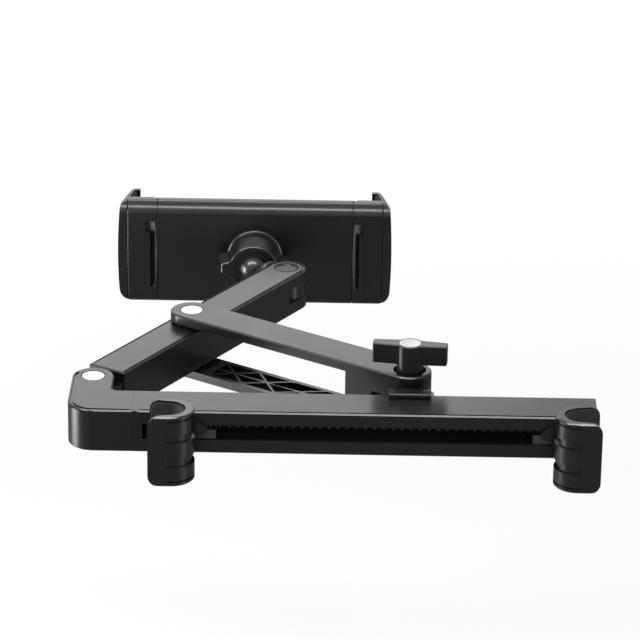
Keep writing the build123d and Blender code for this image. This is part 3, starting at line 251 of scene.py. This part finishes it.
# %% Zinc plated steel
CLOUD_MM = 1.5
steel, tree = fresh("steel_zinc_plated")
place = add(tree, "ShaderNodeTexCoord").outputs["Object"]
cloud = add(tree, "ShaderNodeTexNoise", {"Vector": place, "Scale": 1 / (CLOUD_MM * MM), "Detail": 3.0})
sheen = add(tree, "ShaderNodeMapRange", {"Value": cloud.outputs["Fac"], "To Min": 0.28, "To Max": 0.42})
shader = add(
    tree,
    "ShaderNodeBsdfPrincipled",
    {"Base Color": linear("#b9bcc0"), "Metallic": 1.0, "Roughness": sheen.outputs["Result"]},
)
add(tree, "ShaderNodeOutputMaterial", {"Surface": shader.outputs["BSDF"]})
print("steel", steel.name, "clouds of", CLOUD_MM, "mm")

# %% [markdown]
# ## Turned caps
# The caps on the pivots are aluminium discs, turned on a lathe and clear anodised, so they carry fine rings
# and read almost white. Each cap has its origin on its own axis, so the distance from that axis, sent through
# a sine, draws the rings. Real turning marks are about 0.1 mm apart, too fine to show, so these are coarser.

# %% Turned and anodised aluminium
RING_MM = 0.5
silver, tree = fresh("aluminium_turned_anodised")
place = add(tree, "ShaderNodeTexCoord").outputs["Object"]
flat = add(tree, "ShaderNodeVectorMath", {0: place, 1: (1, 1, 0)}, operation="MULTIPLY")
reach = add(tree, "ShaderNodeVectorMath", {0: flat.outputs["Vector"]}, operation="LENGTH")
turns = 2 * math.pi / (RING_MM * MM)
phase = add(tree, "ShaderNodeMath", {0: reach.outputs["Value"], 1: turns}, operation="MULTIPLY")
rings = add(tree, "ShaderNodeMath", {0: phase.outputs[0]}, operation="SINE")
gloss = add(
    tree,
    "ShaderNodeMapRange",
    {"Value": rings.outputs[0], "From Min": -1.0, "To Min": 0.32, "To Max": 0.42},
)
shader = add(
    tree,
    "ShaderNodeBsdfPrincipled",
    {"Base Color": linear("#e6e7e8"), "Metallic": 1.0, "Roughness": gloss.outputs["Result"]},
)
add(tree, "ShaderNodeOutputMaterial", {"Surface": shader.outputs["BSDF"]})
print("caps", silver.name, "rings of", RING_MM, "mm")

# %% [markdown]
# ## Blasted cap
# The cap on the knob is aluminium too, but blasted with glass beads. The tiny dents frost it evenly, so it
# stays pale without a mirror image. The dents are drawn larger than the real ones, which would not show.

# %% Bead blasted aluminium
BEAD_MM = 0.4
BEAD_DEPTH_MM = 0.02
satin, tree = fresh("aluminium_bead_blasted")
place = add(tree, "ShaderNodeTexCoord").outputs["Object"]
beads = add(tree, "ShaderNodeTexNoise", {"Vector": place, "Scale": 1 / (BEAD_MM * MM), "Detail": 2.0})
relief = add(tree, "ShaderNodeBump", {"Height": beads.outputs["Fac"], "Distance": BEAD_DEPTH_MM * MM})
shader = add(
    tree,
    "ShaderNodeBsdfPrincipled",
    {"Base Color": linear("#c6c8ca"), "Metallic": 1.0, "Roughness": 0.5, "Normal": relief.outputs["Normal"]},
)
add(tree, "ShaderNodeOutputMaterial", {"Surface": shader.outputs["BSDF"]})
print("knob cap", satin.name, "dents of", BEAD_MM, "mm")

# %% [markdown]
# ## Rolled edges
# No moulded edge is a knife edge: the tool always leaves a small radius, and that radius draws the thin
# light line along every edge of the mount. It could be modelled by hand, but Blender's Bevel modifier does it
# for every sharp edge at once. The solids arrive as triangles, so flat faces are first dissolved back into
# whole faces. The copy then takes the place of the solid and rides on the same body. Pieces that stay sharp,
# such as screws, only get their edges marked for the shading.

# %% A dressed copy of a solid
SHARP = 0.0
SHARP_DEGREES = 32
FLAT_DEGREES = 0.5
MERGE_MM = 0.002
ROLL_STEPS = 2
node_body = {n: body for body, names in frame["record"]["behaviour"]["bodies"].items() for n in names}


def stand_in(node, suffix, mesh):
    """A new object that stands for a solid, which it hides."""
    piece = bpy.data.objects.new(f"{node}_{suffix}", mesh)
    scene.collection.objects.link(piece)
    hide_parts(node)
    return piece


def roll_edges(node, radius_mm, material, reshape=None):
    """Clean up one solid's faces, reshape it where asked, and roll its sharp edges over by a small radius."""
    piece = stand_in(node, "moulded", frame["nodes"][node].data.copy())
    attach(piece, node_body[node])
    form = bmesh.new()
    form.from_mesh(piece.data)
    bmesh.ops.remove_doubles(form, verts=form.verts, dist=MERGE_MM * MM)
    flat = math.radians(FLAT_DEGREES)
    bmesh.ops.dissolve_limit(form, angle_limit=flat, verts=form.verts, edges=form.edges)
    if reshape:
        print(node, "reshaped in", reshape(form), "places")
    for face in form.faces:
        face.smooth = True
    form.to_mesh(piece.data)
    form.free()
    if radius_mm:
        bevel = piece.modifiers.new("rolled edge", "BEVEL")
        bevel.width = radius_mm * MM
        bevel.segments = ROLL_STEPS
        bevel.limit_method = "ANGLE"
        bevel.angle_limit = math.radians(SHARP_DEGREES)
        bevel.miter_outer = "MITER_ARC"
        flatten = piece.modifiers.new("flat faces stay flat", "WEIGHTED_NORMAL")
        flatten.weight = 100
        flatten.keep_sharp = True
    else:
        piece.data.set_sharp_from_angle(angle=math.radians(SHARP_DEGREES))
    piece.data.materials.clear()
    piece.data.materials.append(material)
    return piece


# %% [markdown]
# ## Fine lines on the tops
# On the real mount a fine dark line runs beside the edges of the beam, the elbow and the arm, where the top
# meets its rim. A painted line would not catch the light from other sides, so the line is sunk into the face.
# Two insets draw its two edges parallel to the outline, round corners too, and the strip between them is
# pushed down along the stretches where the line shows.

# %% Sink the lines
SQUARE = 0.99
LEVEL_MM = 0.01
LINE_INSET_MM = 0.2
LINE_DEPTH_MM = 0.5


def outermost(form, facing):
    """The faces that look along a direction and lie furthest out that way."""
    looking = [f for f in form.faces if f.normal.dot(facing) > SQUARE]
    limit = max(f.calc_center_median().dot(facing) for f in looking) - LEVEL_MM * MM
    return [f for f in looking if f.calc_center_median().dot(facing) > limit]


def push(form, faces, offset):
    """Push faces in or out, put walls round them and drop the faces that they came from."""
    moved = bmesh.ops.extrude_face_region(form, geom=faces)["geom"]
    bmesh.ops.delete(form, geom=faces, context="FACES_ONLY")
    corners = [part for part in moved if isinstance(part, bmesh.types.BMVert)]
    bmesh.ops.translate(form, verts=corners, vec=offset)


def sink_line(form, width_mm, beside):
    """Sink a fine line into the top face, along the stretch of its outline that beside picks."""
    tops = outermost(form, UP)
    bmesh.ops.inset_region(form, faces=tops, thickness=LINE_INSET_MM * MM)
    ring = bmesh.ops.inset_region(form, faces=tops, thickness=width_mm * MM)["faces"]
    strips = [f for f in ring if beside(f.calc_center_median())]
    push(form, strips, UP * -LINE_DEPTH_MM * MM)
    return len(strips)


print("lines", LINE_DEPTH_MM, "mm deep,", LINE_INSET_MM, "mm inside the outline")

# %% [markdown]
# ## Where the lines run
# On the beam and the elbow the line follows the front edge, goes round the left corner and up the left side.
# On the arm it follows both flanks and the round far end. Two small tests pick those stretches by where a
# strip lies, measured from the elbow's corner and from the arm's two pins.

# %% Pick the stretches
EDGE_BAND_MM = 1.9
ELBOW_ROUND_MM = 9.5
ARM_CORE_MM = 6.2


def middle_of(node):
    """The middle of a solid's box."""
    low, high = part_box(node)
    return (low + high) / 2


beam_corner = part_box("elbow")[0]
hinge_spot, swivel_spot = middle_of("hinge_pin"), middle_of("swivel_pin")
arm_length = (swivel_spot - hinge_spot).length
arm_way = (swivel_spot - hinge_spot).normalized()


def by_front(spot):
    """True beside the front edge of the beam, round its left corner and along its left side."""
    off = spot - beam_corner
    return min(off.x, off.y) < EDGE_BAND_MM * MM or max(off.x, off.y) < ELBOW_ROUND_MM * MM


def by_flanks(spot):
    """True beside the long flanks of the arm and round its far end."""
    off = Vector((spot.x - hinge_spot.x, spot.y - hinge_spot.y, 0))
    along = min(max(off.dot(arm_way), 0), arm_length)
    return (off - arm_way * along).length > ARM_CORE_MM * MM


lines = {
    "beam_channel": partial(sink_line, width_mm=1.1, beside=by_front),
    "elbow": partial(sink_line, width_mm=1.1, beside=by_front),
    "main_arm": partial(sink_line, width_mm=0.8, beside=by_flanks),
}
print("lines on", list(lines), "arm", round(arm_length / MM, 1), "mm from pin to pin")

# %% [markdown]
# ## Housings, hooks and knob
# These are the black mouldings that make up most of the mount. Long straight pieces have nearly crisp edges,
# and what a hand turns or a post rubs against is rounder, so each one has its own radius.

# %% Roll the edges of the housings
EDGES_MM = {
    "beam_channel": 0.06,
    "elbow": 0.06,
    "end_cap": 0.15,
    "main_arm": 0.15,
    "brace_fork": 0.12,
    "carriage": 0.25,
    "wing_knob": 0.8,
    "ball_nut": 0.15,
    "holder_shell": 0.12,
    "front_plate": 0.2,
    "left_hook": 0.3,
    "right_hook": 0.3,
    "left_wing_jaw": 0.3,
    "right_wing_jaw": 0.3,
}
for node, radius in EDGES_MM.items():
    finish = abs_smooth if node.endswith("_hook") else abs_grained
    piece = roll_edges(node, radius, finish, lines.get(node))
    print(piece.name, len(piece.data.polygons))

# %% [markdown]
# ## Wing covers
# The wings close against the holder's body, and their covers against the side jaws, with narrow seams. A
# tongue on each end of a cover keeps light from showing through, so the seams read as thin dark lines. An
# inset with a depth makes the tongue in one step, and leaves the cover one closed skin.

# %% Close the seams of the wings
COVER_EDGE_MM = 0.1
TONGUE_INSET_MM = 0.35
INNER_TONGUE_MM, OUTER_TONGUE_MM = 0.28, 0.45


def close_seams(form, out):
    """Push the inner part of both end faces out, as tongues that close the seams beside them."""
    for way, reach_mm in ((-out, INNER_TONGUE_MM), (out, OUTER_TONGUE_MM)):
        end = outermost(form, Vector((way, 0, 0)))
        bmesh.ops.inset_region(form, faces=end, thickness=TONGUE_INSET_MM * MM, depth=reach_mm * MM)
    return 2


for side, out in (("left", -1), ("right", 1)):
    piece = roll_edges(f"{side}_wing_cover", COVER_EDGE_MM, abs_grained, partial(close_seams, out=out))
    print(piece.name, len(piece.data.polygons))

# %% [markdown]
# ## Guides, shoes and steel
# Washers, slide plates and ball seats guide what moves, the shoes carry the hooks along the slot, and pins,
# nut and screws hold it all together. They are small and mostly hidden, and a machined edge is sharp, so
# their shapes stay as they are and only the finish and the shading change.

# %% Finish the guides, the shoes and the steel
small_pieces = (
    (acetal_guide, "brace_washers left_slide_plate right_slide_plate ball_ring ball_cup"),
    (acetal_shoe, "left_shoe right_shoe"),
    (steel, "hinge_pin brace_pin swivel_pin clamp_stud clamp_nut"),
    (steel, "beam_screws plate_screws left_hook_screw right_hook_screw"),
)
for material, nodes in small_pieces:
    for node in nodes.split():
        roll_edges(node, SHARP, material)
    print(material.name, "on", nodes)

# %% [markdown]
# ## Rack and ball
# The rack on the ceiling of the slot is what the shoes click into, and only the front ends of its teeth show.
# They are brought forward a little, so that the light reaches them. The ball link joins the arm to the
# holder, and its edges are rolled as those of a tumbled piece are.

# %% Bring the rack forward and finish the ball
RACK_FORWARD_MM = 1.9
RACK_FRONT_MM = 0.1
BALL_EDGE_MM = 0.2


def bring_forward(form):
    """Move the front ends of the teeth towards the mouth of the slot."""
    limit = min(v.co.y for v in form.verts) + RACK_FRONT_MM * MM
    ends = [v for v in form.verts if v.co.y < limit]
    bmesh.ops.translate(form, verts=ends, vec=(0, -RACK_FORWARD_MM * MM, 0))
    return len(ends)


for piece in (
    roll_edges("rack_strip", SHARP, acetal_rack_painted_light, bring_forward),
    roll_edges("ball_link", BALL_EDGE_MM, acetal_ball),
):
    print(piece.name, len(piece.data.polygons))

# %% [markdown]
# ## Rubber pads
# The liners in the hooks grip the posts. The pad on the holder's face and those in its side jaws grip the
# tablet, and carry low level ribs. Bisecting the face at each rib's two edges and pushing the strips out
# keeps the pad one closed skin, which a second row of loose bars would not.

# %% Rib a face
LOOKING = 0.9
SNAP_MM = 0.001


def raise_ribs(form, facing, pitch_mm, width_mm, height_mm, margin_mm):
    """Raise level ribs on the faces that look one way, clear of the edges by a margin."""
    facing = Vector(facing).normalized()
    side = facing.cross(UP).normalized()
    pitch, half, margin = pitch_mm * MM, width_mm * MM / 2, margin_mm * MM
    front = [v.co for f in form.faces if f.normal.dot(facing) > LOOKING for v in f.verts]
    low, high = min(c.z for c in front) + margin, max(c.z for c in front) - margin
    near, far = min(c.dot(side) for c in front) + margin, max(c.dot(side) for c in front) - margin
    count = int((high - low) / pitch) + 1
    start = (low + high) / 2 - (count - 1) * pitch / 2
    levels = [start + n * pitch for n in range(count)]
    cuts = [(UP * (z + way * half), UP) for z in levels for way in (-1, 1)]
    cuts += [(side * near, side), (side * far, side)]
    for point, normal in cuts:
        parts = form.verts[:] + form.edges[:] + form.faces[:]
        bmesh.ops.bisect_plane(form, geom=parts, plane_co=point, plane_no=normal, dist=SNAP_MM * MM)
    form.normal_update()
    strips = []
    for face in form.faces:
        centre = face.calc_center_median()
        on_rib = any(abs(centre.z - z) < half for z in levels)
        if on_rib and face.normal.dot(facing) > LOOKING and near < centre.dot(side) < far:
            strips.append(face)
    push(form, strips, facing * height_mm * MM)
    return count


print("ribs are cut to within", SNAP_MM, "mm")

# %% [markdown]
# ## Lining the mount
# The hook liners are plain. The wide front pad has broad ribs, and the narrow pads in the side jaws have
# finer ones. Those pads lean, so that the tablet is drawn in against the holder, and their ribs face the
# same way. The ribs are made by the function above, with other sizes filled in.

# %% Line the hooks and rib the pads
LINER_EDGE_MM, FRONT_PAD_EDGE_MM, WING_PAD_EDGE_MM = 0.2, 0.15, 0.1
PAD_LEAN = 2.8 / 12.7
for node in ("left_hook_pad", "right_hook_pad"):
    print(roll_edges(node, LINER_EDGE_MM, rubber).name)
broad_ribs = partial(
    raise_ribs, facing=(0, 1, 0), pitch_mm=4.0, width_mm=1.6, height_mm=0.4, margin_mm=3.0
)
roll_edges("front_pad", FRONT_PAD_EDGE_MM, rubber, broad_ribs)
fine_ribs = partial(raise_ribs, pitch_mm=3.0, width_mm=1.2, height_mm=0.3, margin_mm=0.8)
for side, out in (("left", -1), ("right", 1)):
    leaning = partial(fine_ribs, facing=(-out, -PAD_LEAN, 0))
    roll_edges(f"{side}_wing_pad", WING_PAD_EDGE_MM, rubber, leaning)

# %% [markdown]
# ## Pivot caps
# Each pivot is closed by a turned disc with a raised rim round a shallow dish. A half profile swept round
# the pin's axis makes it, as on a lathe. Its origin is on that axis, so that the rings of the finish are
# centred. The same two helpers for closing a skin and making a mesh of it serve the springs further down.

# %% Sweep a profile round an axis
CAP_SIDES = 72


def close_skin(form, rings):
    """Join rings of corners one after the other and close both ends."""
    for lower, upper in zip(rings, rings[1:]):
        for n in range(len(lower)):
            m = (n + 1) % len(lower)
            form.faces.new((lower[n], lower[m], upper[m], upper[n]))
    form.faces.new(list(reversed(rings[0])))
    form.faces.new(rings[-1])


def smooth_mesh(form, name, material):
    """Turn a form into a smooth mesh of one material."""
    bmesh.ops.recalc_face_normals(form, faces=form.faces)
    for face in form.faces:
        face.smooth = True
    mesh = bpy.data.meshes.new(name)
    form.to_mesh(mesh)
    form.free()
    mesh.materials.append(material)
    return mesh


def lathe(form, profile):
    """Sweep a half profile of (radius, height) round the upright axis."""
    rings = []
    for radius, height in profile:
        turns = [2 * math.pi * n / CAP_SIDES for n in range(CAP_SIDES)]
        rings.append([form.verts.new((radius * math.cos(t), radius * math.sin(t), height)) for t in turns])
    close_skin(form, rings)


print("caps have", CAP_SIDES, "sides")

# %% [markdown]
# ## Caps on their seats
# A pin has a cap at each end, and the knob has one on top only. The levels at which a solid has corners tell
# where each cap sits and how high it stands, so the profile needs no sizes of its own besides its rim and
# its dish.

# %% Turn the caps
CAP_SHARP_DEGREES = 35
RIM_MM = 0.2
RIM_SHARE, WALL_SHARE, FLOOR_SHARE = 0.8, 0.74, 0.35
LEVELS_OF_ONE_CAP = 3


def turn_caps(node, material, dish_mm):
    """Replace a node's flat caps by dished ones, each on its own seat."""
    low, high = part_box(node)
    centre = middle_of(node)
    radius = (high.x - low.x) / 2
    levels = sorted({round(v.co.z, 6) for v in frame["nodes"][node].data.vertices})
    seats = [(levels[-2], levels[-1])]
    if len(levels) > LEVELS_OF_ONE_CAP:
        seats.append((levels[1], levels[0]))
    form = bmesh.new()
    for seat, face in seats:
        way = 1 if face > seat else -1
        base, top = seat - centre.z, face - centre.z
        rim, dish = RIM_MM * MM, top - way * dish_mm * MM
        profile = [
            (radius, base),
            (radius, top - way * rim),
            (radius - rim / 3, top - way * rim / 3),
            (radius - rim, top),
            (RIM_SHARE * radius, top),
            (WALL_SHARE * radius, dish),
            (FLOOR_SHARE * radius, dish),
        ]
        lathe(form, profile)
    mesh = smooth_mesh(form, f"{node}_turned", material)
    mesh.set_sharp_from_angle(angle=math.radians(CAP_SHARP_DEGREES))
    piece = stand_in(node, "turned", mesh)
    piece.location = centre
    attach(piece, node_body[node])
    return len(seats)


for node, material, dish_mm in (
    ("hinge_pin_caps", silver, 0.1),
    ("brace_pin_caps", silver, 0.1),
    ("knob_cap", satin, 0.1),
    ("swivel_pin_caps", abs_grained, 0.25),
):
    print(node, turn_caps(node, material, dish_mm))

# %% [markdown]
# ## Coil springs
# Two extension springs inside the holder draw its wings in. The solid only gives their outline, so the wire
# is wound here as a tube along a helix. On the real mount each spring is hooked to the holder at one end and
# to a wing's slide plate at the other. Here the coil stays where its outline is.

# %% Wind the springs
WIRE_MM = 0.5
WIRE_SIDES = 8
COILS = 46
STEPS_PER_COIL = 20


def wind(node, out):
    """Wind one spring along X from the holder's anchor to the wing's lug."""
    low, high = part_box(node)
    centre = middle_of(node)
    wire = WIRE_MM * MM / 2
    mean = (high.z - low.z) / 2 - wire
    start, finish = (low.x, high.x) if out > 0 else (high.x, low.x)
    run = finish - start - out * 2 * wire
    total = COILS * STEPS_PER_COIL
    form = bmesh.new()
    rings = []
    for n in range(total + 1):
        turn = 2 * math.pi * n / STEPS_PER_COIL
        spoke = Vector((0, math.cos(turn), math.sin(turn)))
        x = start + out * wire + run * n / total
        middle = Vector((x, centre.y, centre.z)) + spoke * mean
        ring = []
        for k in range(WIRE_SIDES):
            swing = 2 * math.pi * k / WIRE_SIDES
            offset = spoke * math.cos(swing) + Vector((1, 0, 0)) * math.sin(swing)
            ring.append(form.verts.new(middle + offset * wire))
        rings.append(ring)
    close_skin(form, rings)
    piece = stand_in(node, "coil", smooth_mesh(form, f"{node}_coil", steel))
    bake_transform(piece)
    return piece


for side, out in (("left", -1), ("right", 1)):
    piece = wind(f"{side}_spring", out)
    print(piece.name, len(piece.data.polygons))

# %% [markdown]
# ## Camera
# The photograph was taken from a little above the beam with a long lens. The camera's place, its slight
# roll and the focal length were worked out from the straight edges of the beam and the two arms. The three
# axes of the camera are built from its angles, because that keeps the roll apart from the other two.

# %% Place the camera
AZIMUTH, ELEVATION, ROLL = 0.392, 22.197, 0.809
EYE_MM = (-12.18, -1130.46, 509.23)
LENS_MM, SENSOR_MM = 196.46, 36.0
FARTHEST = 20.0
azimuth, elevation, roll = (math.radians(angle) for angle in (AZIMUTH, ELEVATION, ROLL))
back = Vector(
    (
        math.sin(azimuth) * math.cos(elevation),
        -math.cos(azimuth) * math.cos(elevation),
        math.sin(elevation),
    )
)
level = Vector((math.cos(azimuth), math.sin(azimuth), 0))
upright = back.cross(level)
right = math.cos(roll) * level + math.sin(roll) * upright
up = math.cos(roll) * upright - math.sin(roll) * level
lens = bpy.data.cameras.new("long_lens")
lens.lens = LENS_MM
lens.sensor_width = SENSOR_MM
lens.sensor_fit = "HORIZONTAL"
lens.clip_end = FARTHEST
camera = bpy.data.objects.new("camera", lens)
axes = Matrix((right, up, back)).transposed().to_4x4()
camera.matrix_world = Matrix.Translation(Vector(EYE_MM) * MM) @ axes
scene.collection.objects.link(camera)
scene.camera = camera
print("camera at", [round(v, 3) for v in camera.location])

# %% [markdown]
# ## Floor
# A wide sheet of white paper, well below the mount, so that only a faint, soft shadow falls on it. Lit paper
# alone would read grey, so it also glows for the rays that see the background. The glow is weaker near the
# mount, which paints a faint shade round it and lets its shadow show there, and stronger far out, where the
# paper turns pure white.

# %% Lay the paper
FLOOR_DROP = 0.2
FLOOR_HALF = 6.0
MOUNT_Y = 0.14
GLOW_FROM, GLOW_TO = 0.35, 1.1
GLOW_NEAR, GLOW_FAR = 0.76, 0.95
floor_level = solid_box[0][2] - FLOOR_DROP


def white_for(tree):
    """One for the rays that see the background: from the camera, a mirror or a glass."""
    ray = add(tree, "ShaderNodeLightPath")
    seen = ray.outputs["Is Camera Ray"]
    for kind in ("Is Glossy Ray", "Is Transmission Ray"):
        seen = add(tree, "ShaderNodeMath", {0: seen, 1: ray.outputs[kind]}, operation="MAXIMUM").outputs[0]
    return seen


floor_mesh = bpy.data.meshes.new("sweep")
signs = ((-1, -1), (1, -1), (1, 1), (-1, 1))
floor_mesh.from_pydata([(x * FLOOR_HALF, y * FLOOR_HALF, floor_level) for x, y in signs], [], [(0, 1, 2, 3)])
floor = bpy.data.objects.new("sweep", floor_mesh)
scene.collection.objects.link(floor)
paper, tree = fresh("paper_white_matt")
shader = add(
    tree,
    "ShaderNodeBsdfPrincipled",
    {"Base Color": linear("#7d7d7d"), "Roughness": 0.9, "Specular IOR Level": 0.0},
)
spot = add(tree, "ShaderNodeTexCoord").outputs["Object"]
reach = add(tree, "ShaderNodeVectorMath", {0: spot, 1: (0, MOUNT_Y, floor_level)}, operation="DISTANCE")
# Painted shade: the glow dims towards the mount, so the paper round it is drawn darker than far out.
glow_with_painted_shade = add(
    tree,
    "ShaderNodeMapRange",
    {
        "Value": reach.outputs["Value"],
        "From Min": GLOW_FROM,
        "From Max": GLOW_TO,
        "To Min": GLOW_NEAR,
        "To Max": GLOW_FAR,
    },
)
lift = add(tree, "ShaderNodeMath", {0: white_for(tree), 1: glow_with_painted_shade.outputs["Result"]}, operation="MULTIPLY")
glow = add(tree, "ShaderNodeEmission", {"Color": linear("#ffffff"), "Strength": lift.outputs[0]})
both = add(tree, "ShaderNodeAddShader", {0: shader.outputs["BSDF"], 1: glow.outputs["Emission"]})
add(tree, "ShaderNodeOutputMaterial", {"Surface": both.outputs["Shader"]})
floor_mesh.materials.append(paper)
print("floor at", round(floor_level, 3), "m")

# %% [markdown]
# ## Grey card
# Black plastic shows what it mirrors, and upright faces seen from above mirror the floor in front of them.
# A photographer lays a grey card there, so that those faces stay dark. This one is a disc of grey felt just
# over the paper that only reflections see. It casts no shadow and the camera looks through it.

# %% Lay the card
CARD_REACH = 1.4
CARD_GAP = 0.002
CARD_SIDES = 96
card_mesh = bpy.data.meshes.new("grey_card")
form = bmesh.new()
bmesh.ops.create_circle(form, cap_ends=True, segments=CARD_SIDES, radius=CARD_REACH)
form.to_mesh(card_mesh)
form.free()
card = bpy.data.objects.new("grey_card", card_mesh)
card.location = (0, MOUNT_Y, floor_level + CARD_GAP)
card.visible_camera = card.visible_diffuse = card.visible_shadow = card.visible_transmission = False
scene.collection.objects.link(card)
felt, tree = fresh("felt_grey_matt")
shader = add(
    tree,
    "ShaderNodeBsdfPrincipled",
    {"Base Color": linear("#828282"), "Roughness": 0.9, "Specular IOR Level": 0.0},
)
add(tree, "ShaderNodeOutputMaterial", {"Surface": shader.outputs["BSDF"]})
card_mesh.materials.append(felt)
print("card reaches", CARD_REACH, "m")

# %% [markdown]
# ## Room
# The room is white to the eye, and to whatever mirrors it, but gives only a little light of its own, so that
# the lamps can shape the mount.

# %% Paint the room
ROOM_LIGHT, ROOM_WHITE = 0.2, 1.0
world = bpy.data.worlds.new("studio")
scene.world = world
world.use_nodes = True
tree = world.node_tree
tree.nodes.clear()
strength = add(
    tree, "ShaderNodeMapRange", {"Value": white_for(tree), "To Min": ROOM_LIGHT, "To Max": ROOM_WHITE}
)
sky = add(tree, "ShaderNodeBackground", {"Color": linear("#ffffff"), "Strength": strength.outputs["Result"]})
add(tree, "ShaderNodeOutputWorld", {"Surface": sky.outputs["Background"]})
print("room light", ROOM_LIGHT)

# %% [markdown]
# ## Lamps
# Large soft boxes, as in a product studio. The one behind the mount is mirrored in every flat top, which is
# why the tops read grey. The strip above the front draws the light line along the front edges, a low panel on
# each side finds the rounded corners, and a key lamp from the upper left models the rest.

# %% Hang the lamps


def lamp(name, place, target, size, power):
    """A rectangular soft box that faces a point."""
    light = bpy.data.lights.new(name, "AREA")
    light.shape = "RECTANGLE"
    light.size, light.size_y = size
    light.energy = power
    box = bpy.data.objects.new(name, light)
    box.location = place
    way = Vector(target) - Vector(place)
    box.rotation_euler = way.to_track_quat("-Z", "Y").to_euler()
    box.visible_camera = False
    scene.collection.objects.link(box)
    return box


lamps = [
    lamp("back_softbox", (-0.6, 1.6, 0.72), target=(0, 0.1, 0), size=(1.6, 0.55), power=4.5),
    lamp("front_top_strip", (-0.1, -0.45, 1.2), target=(0, 0.05, 0), size=(1.0, 0.25), power=14),
    lamp("left_panel", (-0.6, 0, -0.06), target=(-0.05, 0, 0), size=(0.25, 0.3), power=4),
    lamp("right_panel", (0.6, -0.3, -0.06), target=(0.05, -0.1, 0), size=(0.2, 0.3), power=2.2),
    lamp("key_softbox", (-0.85, -0.45, 1.1), target=(0, 0, 0), size=(0.4, 0.4), power=11),
]
print("lamps", {box.name: box.data.energy for box in lamps})
